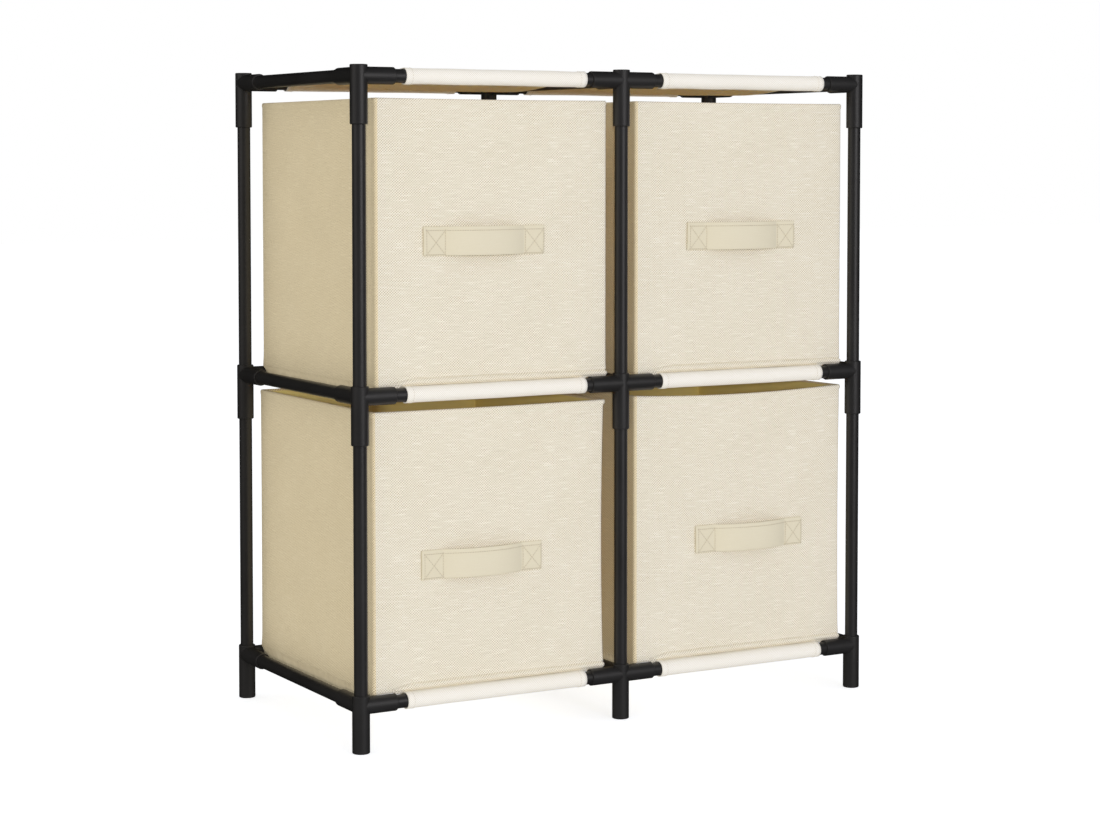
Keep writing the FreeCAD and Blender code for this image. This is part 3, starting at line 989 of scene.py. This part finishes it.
@dataclass
class FabricBin:
    """A soft drawer: sewn linen skin, stiff wall boards, a covered base board and a strap handle."""

    tier: Tier
    bay: Bay
    finishes: Finishes
    seed: int
    shift: float
    rim_lift: float
    front_sag: float
    widen: float = 0.0
    pinch: Pair = (0.0, 0.0)
    ear: float = 0.0
    ear_reach: float = 6.0 * MM
    side_sag_share: float = 0.25
    sag_power: int = 3
    waist: float = 0.9 * MM
    bow_power: float = 0.85
    wall: float = 4.0 * MM
    floor: float = 1.6 * MM
    corner: float = 3.0 * MM
    least_corner: float = 0.8 * MM
    foot_flare: float = 0.7 * MM
    flare_reach: float = 9.0 * MM
    ripple_depth: float = 0.9 * MM
    ripple_reach: Pair = (0.07, 0.06)
    calm_foot: float = 0.12
    calm_rim: float = 0.9
    rim_ripple: float = 0.5
    calm_corner: float = 30.0 * MM
    hem: float = 4.5 * MM
    hem_step: Pair = (1.5 * MM, 1.0 * MM)
    hem_rise: float = 0.45 * MM
    roll: float = 6.8 * MM
    roll_rise: float = 1.3 * MM
    roll_start: Pair = (-0.97, -0.66)
    roll_fall: Pair = (-0.2, 0.9)
    roll_fall_share: float = 0.12
    fold_starts: Pair = (0.5 * MM, 3.0 * MM)
    fold_edge: float = 0.3 * MM
    groove: float = 2.3 * MM
    groove_width: float = 1.3 * MM
    hang_beside: Pair = (10.5 * MM, 7.0 * MM)
    hang_on_rail: float = 0.95 * MM
    hang_by_sleeve: float = 1.9 * MM
    beside_shelf: Pair = (27.0 * MM, 17.0 * MM)
    rail_edge: Pair = (131.0 * MM, 137.5 * MM)
    sleeve_end: Pair = (104.5 * MM, 106.5 * MM)
    arm_start: Pair = (111.5 * MM, 114.0 * MM)
    board_layers: Pair = (0.9 * MM, 3.1 * MM)
    board_edge: float = 9.0 * MM
    board_rows: int = 24
    under_insets: tuple[float, ...] = (70.0 * MM, 20.0 * MM, 6.0 * MM, 1.2 * MM)
    rim_band: float = 9.0 * MM
    rim_gap: float = 1.2 * MM
    rim_rows: int = 7
    rim_points: int = 8
    wall_start: float = 15.0 * MM
    wall_rows: int = 38
    lining_rows: int = 40
    lining_end: float = 2.0 * MM
    floor_insets: Pair = (40.0 * MM, 90.0 * MM)
    panel_corner: float = 2.5 * MM
    panel_counts: tuple[int, int, int] = (34, 36, 4)
    panel_wave: float = 0.25
    panel_calm: float = 30.0 * MM
    # Insets and heights of the skin's foot, and of the lining's foot from wall and floor, in millimetres.
    foot_round: tuple[Pair, ...] = ((0.5, 0.15), (0.15, 0.5), (0.0, 1.2), (0.0, 2.0))
    lining_round: tuple[Pair, ...] = ((0.6, 0.5), (2.0, 0.0))
    # First height, end and step of the rows over the fold, in millimetres.
    fold_rows: tuple[Point, ...] = ((2.8, 9.5, 0.45), (9.7, 14.0, 1.0))
    # Inset in millimetres and share of the base board's thickness.
    panel_section: tuple[Pair, ...] = (
        (60.0, 0.0), (1.2, 0.0), (0.35, 0.25), (0.0, 0.5), (0.35, 0.75),
        (1.2, 1.0), (8.0, 1.0), (30.0, 1.0), (60.0, 1.0), (100.0, 1.0),
    )
    # Inset and rise of the slack edge in millimetres, and its share of the hang.
    edge_section: tuple[Point, ...] = (
        (0.2, 2.2, 0.0), (0.2, 0.3, 0.0), (0.2, 0.9, 1.0), (0.5, 0.35, 1.0), (1.2, 0.0, 1.0),
        (2.6, 0.1, 1.0), (8.0, 0.2, 0.72), (15.0, 0.3, 0.3), (21.0, 0.5, 0.0), (12.0, 0.9, 0.0),
    )
    # Way along the cloth round that section, closed, in millimetres.
    edge_climb: tuple[float, ...] = (0.0, 2.0, 7.0, 8.0, 9.0, 10.5, 16.0, 23.0, 29.0, 38.0, 50.0)

    def __post_init__(self) -> None:
        """Reads the bin's place from the frame."""
        self.body = f"{self.tier.value}_{self.bay.value}_bin"
        low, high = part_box(f"{self.body}_fabric")
        self.middle_x = (low.x + high.x) / 2 + self.shift
        self.middle_y = (low.y + high.y) / 2
        self.bottom = low.z
        self.height = high.z - low.z + self.rim_lift
        self.half_width = (high.x - low.x + self.widen) / 2
        self.half_depth = (high.y - low.y) / 2
        self.ripple = Ripple(self.ripple_depth, self.seed, self.ripple_reach)
        self.girth = 4 * (self.half_width + self.half_depth)

    def outline(self, inset: float) -> dict[str, np.ndarray]:
        """The bin's level outline, drawn in by an inset."""
        radius = max(self.corner - inset, self.least_corner)
        return Outline(self.half_width - inset, self.half_depth - inset, radius).walk()

    def path(self) -> tuple[np.ndarray, np.ndarray]:
        """The way round the bin.

        Returns:
            Lengths along the outline, closed, and the number of the cloth at each of its points: 0 on the
            front, 1 on the other walls, whose cloth paints their shade.
        """
        base = self.outline(0.0)
        steps = np.hypot(*(np.diff(base[axis], append=base[axis][0]) for axis in ("x", "y")))
        return np.concatenate([[0.0], np.cumsum(steps)]), np.where(base["wall"] == Wall.FRONT.value, 0, 1)

    def crease(self, share: np.ndarray) -> np.ndarray:
        """Height of the crease above the bin's bottom edge, by the share along a wall."""
        fall = self.roll_fall_share * smoothstep(share, *self.roll_fall)
        return self.roll * smoothstep(share, *self.roll_start) * (1.0 - fall)

    def bow(self, height: float) -> float:
        """How much of the waist shows at a height: nothing at foot and rim, all of it midway."""
        return math.sin(math.pi * min(max(height / self.height, 0.0), 1.0)) ** self.bow_power

    def bulge(self, ring: dict[str, np.ndarray], height: float, outside: bool) -> np.ndarray:
        """How far the wall stands out from its flat place.

        Args:
            ring: points of the outline.
            height: height above the bin's bottom.
            outside: whether the skin's own folds count, as on the outer face.

        Returns:
            Distances along the ring's outward directions.
        """
        level = np.clip(height / self.height, 0.0, 1.0)
        around = (ring["wall"] + (ring["share"] + 1) / 2) * self.girth / 4
        settled = smoothstep(level, 0.0, self.calm_foot)
        settled = settled * (1.0 - self.rim_ripple * smoothstep(level, self.calm_rim, 1.0))
        settled = settled * smoothstep(ring["edge"], 0.0, self.calm_corner)
        out = -self.waist * self.bow(height) * np.clip(1.0 - ring["share"] ** 2, 0.0, 1.0)
        out = out + self.ripple.at(around, np.full_like(around, height), self.girth) * settled
        near = np.exp(-((ring["edge"] / self.flare_reach) ** 2))
        out = out + self.foot_flare * near * math.exp(-((height / self.flare_reach) ** 2))
        hem = self.height - self.hem
        top = float(smoothstep(height, hem - self.hem_step[0], hem + self.hem_step[1]))
        facing = np.clip(ring.get("direction_x", np.zeros_like(around)), 0.0, 1.0)
        out = out + self.ear * facing * np.exp(-((ring["edge"] / self.ear_reach) ** 2)) * top
        if outside:
            out = out + self.hem_rise * top
            line = np.where(ring["wall"] == Wall.FRONT.value, self.crease(ring["share"]), 0.0)
            gap = np.minimum(height - line, self.fold_edge)
            under = smoothstep(line, *self.fold_starts)
            under = under * (1.0 - smoothstep(gap, -self.fold_edge, self.fold_edge))
            share = np.clip(height / np.maximum(line, TINY), 0.0, 1.0)
            fold = self.roll_rise * np.sin(math.pi * share) - self.groove * np.exp(gap / self.groove_width)
            out = out + fold * under
        return out

    def drop(self, ring: dict[str, np.ndarray], height: float) -> np.ndarray:
        """How far the walls' cloth sags, the front more than the others.

        Args:
            ring: points of the outline.
            height: height above the bin's bottom.

        Returns:
            Distances downwards, largest at the rim.
        """
        level = np.clip(height / self.height, 0.0, 1.0)
        belly = np.clip(1.0 - ring["share"] ** 2, 0.0, 1.0)
        front = np.where(ring["wall"] == Wall.FRONT.value, 1.0, self.side_sag_share)
        return self.front_sag * belly * front * level**self.sag_power

    def ring(self, inset: float, height: float, outside: bool) -> np.ndarray:
        """One level ring of the soft shell.

        Args:
            inset: distance that the outline is drawn in.
            height: height above the bin's bottom.
            outside: whether it is on the outer face.

        Returns:
            Its points, one row each.
        """
        ring = self.outline(inset)
        out = self.bulge(ring, height, outside)
        pinch = np.where(ring["x"] > 0.0, self.pinch[1], self.pinch[0])
        narrowed = ring["x"] * (1.0 - pinch * self.bow(height) / self.half_width)
        x = self.middle_x + narrowed + ring["direction_x"] * out
        y = self.middle_y + ring["y"] + ring["direction_y"] * out
        return np.stack([x, y, self.bottom + height - self.drop(ring, height)], axis=1)

    def front_y(self, x: float, z: float) -> float:
        """Finds the front wall's outer face.

        Args:
            x: place across the front.
            z: height in the frame.

        Returns:
            The face's y there.
        """
        share = np.clip((x - self.middle_x) / (self.half_width - self.corner), -1.0, 1.0)
        edge = (1.0 - abs(share)) * (self.half_width - self.corner)
        here = {"wall": np.zeros(1), "share": np.array([share]), "edge": np.array([edge])}
        return self.middle_y - self.half_depth - float(self.bulge(here, z - self.bottom, True)[0])

    def cloths(self) -> list[bpy.types.Material]:
        """Returns the front wall's linen and, for the other walls, a deeper, warmer copy of it that paints
        their shade.
        """
        return [self.finishes.linen, self.finishes.painted_shade_linen]

    def rows(self) -> tuple[list[tuple[float, float, bool]], list[bool]]:
        """Stations of the shell from under the bin, up the skin, over the rim and down the lining.

        Returns:
            Inset, height and whether it is the outer face for each ring, and whether each strip is lining.
        """
        outer = [(inset, 0.0) for inset in self.under_insets]
        outer += [(inset * MM, rise * MM) for inset, rise in self.foot_round]
        outer += [(0.0, h * MM) for span in self.fold_rows for h in np.arange(*span)]
        band = self.height - self.rim_band
        edge = self.height - self.wall / 2
        outer += [(0.0, h) for h in np.linspace(self.wall_start, band, self.wall_rows)]
        outer += [(0.0, h) for h in np.linspace(band + self.rim_gap, edge, self.rim_rows)]
        rim = [
            (self.wall / 2 * (1 - math.cos(a)), self.height - self.wall / 2 * (1 - math.sin(a)))
            for a in np.linspace(0.0, math.pi, self.rim_points)[1:-1]
        ]
        lining = np.linspace(edge, self.floor + self.lining_end, self.lining_rows)
        inner = [(self.wall, h) for h in lining]
        inner += [(self.wall + inset * MM, self.floor + rise * MM) for inset, rise in self.lining_round]
        inner += [(inset, self.floor) for inset in self.floor_insets]
        half = len(rim) // 2
        stations = [(*s, True) for s in outer + rim[:half]]
        stations += [(*s, False) for s in rim[half:] + inner]
        skin = len(outer) + len(rim)
        return stations, [strip >= skin for strip in range(len(stations) - 1)]

    def skin(self) -> bpy.types.Object:
        """Makes the sewn shell of linen and lining.

        Returns:
            The shell, closed all over.
        """
        stations, lined = self.rows()
        points = np.array([self.ring(*station) for station in stations])
        around, walls = self.path()
        count = points.shape[1]
        climb = np.zeros((len(points), count + 1))
        climb[1:, :-1] = np.cumsum(np.linalg.norm(np.diff(points, axis=0), axis=2), axis=0)
        climb[:, -1] = climb[:, 0]
        rim = max(range(len(stations)), key=lambda i: stations[i][1])
        climb = climb - climb[rim] + self.girth
        uv = np.stack(np.broadcast_arrays(around[None, :], climb), axis=-1)
        draft = MeshDraft()
        draft.add_grid(points, uv, True, np.where(np.array(lined)[:, None], 2, walls[None, :]))
        low, high = range(count), range((len(stations) - 1) * count, len(stations) * count)
        draft.add_fan(list(low), (self.middle_x, self.middle_y, self.bottom), 1, False)
        draft.add_fan(list(high), (self.middle_x, self.middle_y, self.bottom + self.floor), 2, True)
        return draft.piece(f"{self.body}_skin", [*self.cloths(), self.finishes.lining])

    def boards(self) -> bpy.types.Object:
        """Makes the four stiff boards between the skin and the lining.

        Returns:
            The boards as one piece, bowed as the walls are.
        """
        draft = MeshDraft()
        heights = np.linspace(self.board_edge, self.height - self.board_edge, self.board_rows)
        inner = self.outline(self.board_layers[1])
        for wall in Wall:
            chosen = (inner["wall"] == wall.value) & (inner["edge"] > self.board_edge)
            layers = [
                np.array([self.ring(inset, h, False)[chosen] for h in heights])
                for inset in self.board_layers
            ]
            self.slab(draft, *layers)
        return draft.piece(f"{self.body}_stiffeners", [self.finishes.board])

    @staticmethod
    def slab(draft: MeshDraft, outer: np.ndarray, inner: np.ndarray) -> None:
        """Adds a closed board between two grids of points.

        Args:
            draft: draft that takes the board.
            outer: places of the outer face, rows by columns by 3.
            inner: places of the inner face.
        """
        rows, columns = outer.shape[:2]
        uv = np.zeros((rows, columns, 2))
        front = draft.add_grid(outer, uv, False)
        back = draft.add_grid(inner[:, ::-1], uv, False)

        def number(layer: int, i: int, j: int) -> int:
            """Number of a point of one face, counted on the outer face."""
            return front + i * columns + j if layer == 0 else back + i * columns + columns - 1 - j

        rim = [(0, j) for j in range(columns)] + [(i, columns - 1) for i in range(1, rows)]
        rim += [(rows - 1, j) for j in range(columns - 2, -1, -1)] + [(i, 0) for i in range(rows - 2, 0, -1)]
        for first, second in zip(rim, [*rim[1:], rim[0]]):
            face = (number(1, *first), number(1, *second), number(0, *second), number(0, *first))
            draft.add_face(face, [(0.0, 0.0)] * 4)

    def base(self) -> bpy.types.Object:
        """Makes the covered board on the bin's floor.

        Returns:
            The board, with soft edges and a slight crown.
        """
        low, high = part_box(f"{self.body}_base_board")
        thick = high.z - low.z
        half = ((high.x - low.x) / 2, (high.y - low.y) / 2)
        rings, uv = [], []
        for inset, share in self.panel_section:
            sides = [side - inset * MM for side in half]
            walk = Outline(*sides, self.panel_corner, *self.panel_counts).walk()
            crown = self.panel_wave * (share == 1.0) * min(inset * MM / self.panel_calm, 1.0)
            wave = self.ripple.at(walk["x"], walk["y"]) * crown
            x, y = self.middle_x + walk["x"], self.middle_y + walk["y"]
            rings.append(np.stack([x, y, low.z + thick * share + wave], axis=1))
            flat = np.stack([x, y + (1.0 - share) * thick], axis=1)
            uv.append(np.concatenate([flat, flat[:1]]))
        draft = MeshDraft()
        draft.add_grid(np.array(rings), np.array(uv), True)
        count = len(rings[0])
        draft.add_fan(list(range(count)), (self.middle_x, self.middle_y, low.z), 0, False)
        last = range((len(rings) - 1) * count, len(rings) * count)
        draft.add_fan(list(last), (self.middle_x, self.middle_y, high.z), 0, True)
        return draft.piece(f"{self.body}_floor_panel", [self.finishes.lining])

    def bottom_edge(self) -> bpy.types.Object:
        """Makes the slack bottom edge, which hangs beside the shelf and lies on the rails.

        Returns:
            A closed soft ring under the skin's bottom edge.
        """
        deep = self.hang_beside[list(Tier).index(self.tier)]
        rings = []
        near, far = (self.half_width - inset for inset in self.beside_shelf)
        for inset, rise, share in self.edge_section:
            ring = self.outline(inset * MM)
            out = self.bulge(ring, 0.0, False)
            x = self.middle_x + ring["x"] + ring["direction_x"] * out
            y = self.middle_y + ring["y"] + ring["direction_y"] * out
            beside = smoothstep(np.abs(ring["x"]), near, far)
            clear = 1.0 - smoothstep(np.abs(y), *self.rail_edge)
            off = np.abs(x - self.middle_x + self.shift)
            bare = smoothstep(off, *self.sleeve_end) * (1.0 - smoothstep(off, *self.arm_start))
            hang = self.hang_on_rail + self.hang_by_sleeve * bare * (1.0 - clear)
            hang = hang + (deep - hang) * beside * clear
            rings.append(np.stack([x, y, self.bottom + rise * MM - hang * share], axis=1))
        points = np.array(rings)
        around, walls = self.path()
        climb = -np.array(self.edge_climb) * MM
        uv = np.stack(np.broadcast_arrays(around[None, :], climb[:, None]), axis=-1)
        draft = MeshDraft()
        numbers = np.broadcast_to(walls, (len(points), len(walls)))
        draft.add_grid(points[::-1], uv[::-1], True, numbers, looped=True)
        return draft.piece(f"{self.body}_bottom_edge", self.cloths())

    def build(self) -> None:
        """Makes every piece of the bin and hands it to the frame."""
        settle(self.skin(), self.body, "bin_fabric", f"{self.body}_fabric")
        edge = settle(self.bottom_edge(), self.body, "bin_fabric")
        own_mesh(edge)
        settle(self.boards(), self.body, "board", f"{self.body}_wall_boards")
        settle(self.base(), self.body, "base_board", f"{self.body}_base_board")
        StrapHandle(self, self.finishes).build()


@dataclass
class StrapHandle:
    """A strap of folded webbing, sewn flat at both ends and bowed out between them."""

    carrier: FabricBin
    finishes: Finishes
    ply: float = 1.8 * MM
    patch: float = 24.0 * MM
    crown: float = 0.7 * MM
    edge: float = 0.8 * MM
    top_fold: float = 4.2 * MM
    box_bottom: float = 1.3 * MM
    box_sides: Pair = (3.4 * MM, 1.3 * MM)
    box_length: float = 21.0 * MM
    rest: float = 0.15 * MM
    thread_rise: float = 0.05 * MM
    arch_power: float = 2.4
    end_power: float = 0.95
    face_points: int = 15
    back_points: int = 9
    stations: int = 113
    # Inset as a share of the edge, and height as a share of the ply, round the upper edge.
    edge_bend: tuple[Pair, ...] = ((0.3, 0.86), (0.0, 0.5), (0.3, 0.14))

    def __post_init__(self) -> None:
        """Reads the strap's place from the frame."""
        self.node = f"{self.carrier.body}_handle"
        low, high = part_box(self.node)
        self.half_length = (high.x - low.x) / 2
        self.half_height = (high.z - low.z) / 2
        self.bow = high.y - low.y - self.ply
        self.middle_x = (low.x + high.x) / 2
        self.middle_z = (low.z + high.z) / 2

    def arch(self, x: float) -> float:
        """How far the strap's back stands off the bin.

        Args:
            x: distance from the strap's middle along its length.

        Returns:
            The distance, which is 0 on the sewn ends.
        """
        reach = self.half_length - self.patch
        if abs(x) >= reach:
            return 0.0
        return self.bow * (1.0 - abs(x / reach) ** self.arch_power) ** self.end_power

    def face(self, x: float, z: float, proud: float) -> Point:
        """A point on or near the strap's face.

        Args:
            x: distance from the strap's middle along its length.
            z: height above its centre line.
            proud: distance from the strap's back.

        Returns:
            The place in the frame.
        """
        wall = self.carrier.front_y(self.middle_x + x, self.middle_z + z)
        return (self.middle_x + x, wall - self.rest - self.arch(x) - proud, self.middle_z + z)

    def thickness(self, z: float) -> float:
        """How thick the strap is at a height above its centre line."""
        return self.ply + self.crown * (1.0 - (z / self.half_height) ** 2)

    def section(self) -> list[Pair]:
        """Section of the webbing, walked round once.

        Returns:
            Points as (height, distance from its back).
        """
        h = self.half_height
        flat = h - self.edge
        front = [(float(z), self.thickness(z)) for z in np.linspace(-flat, flat, self.face_points)]
        back = [(float(z), 0.0) for z in np.linspace(flat, -flat, self.back_points)]
        top = [(h - self.edge * inset, self.ply * share) for inset, share in self.edge_bend]
        low = [(-z, proud) for z, proud in reversed(top)]
        return front + top + back + low

    def strap(self) -> bpy.types.Object:
        """Makes the strap.

        Returns:
            The strap as one closed piece.
        """
        section = self.section()
        stations = np.linspace(-self.half_length, self.half_length, self.stations)
        points = np.array([[self.face(float(x), z, proud) for z, proud in section] for x in stations])
        loop = np.array([*section, section[0]])
        around = np.concatenate([[0.0], np.cumsum(np.hypot(*np.diff(loop, axis=0).T))])
        uv = np.stack(np.broadcast_arrays(stations[:, None], around[None, :]), axis=-1)
        draft = MeshDraft()
        draft.add_grid(points, uv, True)
        count, last = len(section), (len(stations) - 1) * len(section)
        draft.add_face(list(range(count))[::-1], section[::-1])
        draft.add_face(list(range(last, last + count)), section)
        return draft.piece(f"{self.carrier.body}_strap", [self.finishes.webbing])

    def line(self, start: Pair, end: Pair) -> np.ndarray:
        """Points of a straight sewn line on the strap's face.

        Args:
            start: first end as (along, height).
            end: other end.

        Returns:
            Points every millimetre or so, just above the face.
        """
        count = max(round(math.dist(start, end) / MM), 2)
        found = []
        for share in np.linspace(0.0, 1.0, count):
            x, z = (s + (e - s) * share for s, e in zip(start, end))
            found.append(self.face(x, z, self.thickness(z) + self.thread_rise))
        return np.array(found)

    def sewn_lines(self) -> list[np.ndarray]:
        """Lines that the strap is sewn along.

        Returns:
            Boxed crosses on both ends and the hem line below the top edge.
        """
        top, low = self.half_height - self.top_fold, -self.half_height + self.box_bottom
        left, right = self.box_sides[0] - self.half_length, self.half_length - self.box_sides[1]
        lines = [self.line((left, top), (right, top))]
        for a, b in ((left, left + self.box_length), (right, right - self.box_length)):
            # The two sides and the bottom of the box, then its cross.
            corners = ((a, top), (b, top), (a, low), (b, low))
            for start, end in ((0, 2), (1, 3), (2, 3), (0, 3), (2, 1)):
                lines.append(self.line(corners[start], corners[end]))
        return lines

    def build(self) -> None:
        """Makes the strap and its stitches and hands them to the frame."""
        body = self.carrier.body
        settle(self.strap(), body, "handle_webbing", self.node)
        stitching = Stitching(
            f"{body}_stitching",
            self.finishes.thread,
            pitch=2.6 * MM,
            length=2.5 * MM,
            thickness=0.85 * MM,
            lines=self.sewn_lines(),
        )
        settle(stitching.piece(), body, "handle_webbing")


@dataclass(frozen=True)
class Lamp:
    """A soft square lamp, which lights surfaces or only makes highlights."""

    name: str
    place: Point
    size: float
    power: float
    colour: Colour
    gloss: bool = False

    def hang(self, aim: Point) -> None:
        """Makes the lamp.

        Args:
            aim: point that it faces.
        """
        data = bpy.data.lights.new(self.name, "AREA")
        data.size = self.size
        data.energy = self.power
        data.color = self.colour
        lamp = bpy.data.objects.new(self.name, data)
        lamp.visible_glossy = self.gloss
        lamp.visible_diffuse = not self.gloss
        lamp.location = self.place
        towards = Vector([a - p for a, p in zip(aim, self.place)])
        lamp.rotation_euler = towards.to_track_quat("-Z", "Y").to_euler()
        bpy.context.scene.collection.objects.link(lamp)


@dataclass
class Studio:
    """White floor, soft light and the camera at the reference view."""

    picture: Pair = (1100.0, 824.0)
    focal_pixels: float = 2406.69
    principal: Pair = (550.42, 276.67)
    eye: Point = (-1.3363, -2.31428, 0.59715)
    yaw: float = 29.966
    pitch: float = 2.817
    sensor: float = 36.0
    clip_end: float = 60.0
    floor_half: float = 14.0
    floor_scale: float = 3.0
    floor_dark: Colour = (0.58, 0.60, 0.64)
    floor_light: Colour = (0.62, 0.64, 0.68)
    floor_glow: float = 0.7
    white: tuple[float, ...] = (1.0, 1.0, 1.0, 1.0)
    surround: float = 0.64
    bounces: int = 16
    aim: Point = (0.0, 0.0, 0.35)
    lamps: tuple[Lamp, ...] = (
        Lamp("key", (0.0, -6.5, 1.3), 1.4, 82.0, (0.54, 0.62, 1.0)),
        Lamp("fill", (-2.9, -5.0, 0.93), 0.28, 104.0, (1.0, 0.95, 0.88)),
        Lamp("right_strip", (0.5, -2.8, 0.8), 1.6, 20.0, (1.0, 0.97, 0.98), gloss=True),
        Lamp("left_strip", (-2.6, -0.2, 1.5), 2.4, 14.0, (1.0, 0.95, 0.92), gloss=True),
    )

    def camera(self) -> None:
        """Makes the camera of the reference view."""
        data = bpy.data.cameras.new("reference_view")
        data.sensor_width = self.sensor
        data.lens = self.focal_pixels / self.picture[0] * self.sensor
        data.shift_x = (self.picture[0] / 2 - self.principal[0]) / self.picture[0]
        data.shift_y = (self.principal[1] - self.picture[1] / 2) / self.picture[0]
        data.clip_end = self.clip_end
        camera = bpy.data.objects.new("reference_view", data)
        camera.location = self.eye
        camera.rotation_euler = (math.radians(90.0 - self.pitch), 0.0, math.radians(-self.yaw))
        bpy.context.scene.collection.objects.link(camera)
        bpy.context.scene.camera = camera

    def floor(self) -> None:
        """Makes the pale floor."""
        half = self.floor_half
        draft = MeshDraft()
        grid = np.array([[(x, y, 0.0) for x in (-half, half)] for y in (-half, half)])
        draft.add_grid(grid, grid[..., :2], False)
        graph = ShaderGraph("studio_floor")
        tone = graph.span(graph.noise(graph.place("Object"), self.floor_scale), *NOISE_MIDDLE)
        material = graph.finish({
            "Base Color": graph.blend(tone, self.floor_dark, self.floor_light),
            "Roughness": 0.9,
            "Emission Color": self.white,
            "Emission Strength": self.floor_glow,
        })
        floor = draft.piece("studio_floor", [material])
        floor.visible_diffuse = False
        floor.visible_glossy = False

    def light(self) -> None:
        """Makes the white surroundings and the lamps."""
        world = bpy.data.worlds.new("white_studio")
        bpy.context.scene.world = world
        world.use_nodes = True
        graph = NodeGraph(world.node_tree)
        shine = graph.tree.nodes["Background"]
        graph.feed(shine, {"Color": self.white, "Strength": self.surround})
        backdrop = graph.add("ShaderNodeBackground", {"Color": self.white})
        seen = graph.add("ShaderNodeLightPath", {}).outputs["Is Camera Ray"]
        choice = graph.add("ShaderNodeMixShader", {0: seen, 1: shine.outputs[0], 2: backdrop.outputs[0]})
        graph.feed(graph.tree.nodes["World Output"], {"Surface": choice.outputs[0]})
        world.cycles_visibility.glossy = False
        for lamp in self.lamps:
            lamp.hang(self.aim)

    def build(self) -> None:
        """Makes the whole studio."""
        self.camera()
        self.floor()
        self.light()
        scene = bpy.context.scene
        scene.view_settings.view_transform = "Standard"
        scene.cycles.max_bounces = self.bounces
        scene.cycles.diffuse_bounces = self.bounces


def main() -> None:
    """Builds the sub-assemblies in order."""
    logging.basicConfig(level=logging.INFO, format="%(message)s")
    finishes = Finishes()
    TubeFrame(finishes).dress()
    shelf_stitching = Stitching(
        "shelf_stitching", finishes.pale_thread, pitch=3.0 * MM, length=2.2 * MM, thickness=0.5 * MM
    )
    for level in Level:
        for bay in Bay:
            ShelfPanel(level, bay, finishes).build(shelf_stitching)
    settle(shelf_stitching.piece(), "frame", "shelf_fabric")
    bins = [
        FabricBin(
            Tier.UPPER, Bay.LEFT, finishes, seed=11, shift=1.6 * MM, rim_lift=1.8 * MM, front_sag=0.6 * MM
        ),
        FabricBin(
            Tier.UPPER, Bay.RIGHT, finishes, seed=23, shift=2.4 * MM, rim_lift=1.8 * MM, front_sag=0.6 * MM,
            ear=0.3 * MM,
        ),
        FabricBin(
            Tier.LOWER, Bay.LEFT, finishes, seed=37, shift=-1.6 * MM, rim_lift=-2.5 * MM, front_sag=0.8 * MM,
            widen=1.0 * MM, pinch=(0.2 * MM, 2.4 * MM), ear=1.6 * MM,
        ),
        FabricBin(
            Tier.LOWER, Bay.RIGHT, finishes, seed=53, shift=2.2 * MM, rim_lift=-1.0 * MM, front_sag=4.0 * MM,
            widen=1.0 * MM, pinch=(0.0, 1.2 * MM), ear=0.6 * MM,
        ),
    ]
    for soft_bin in bins:
        soft_bin.build()
    Studio().build()


if __name__ == "__main__":
    main()
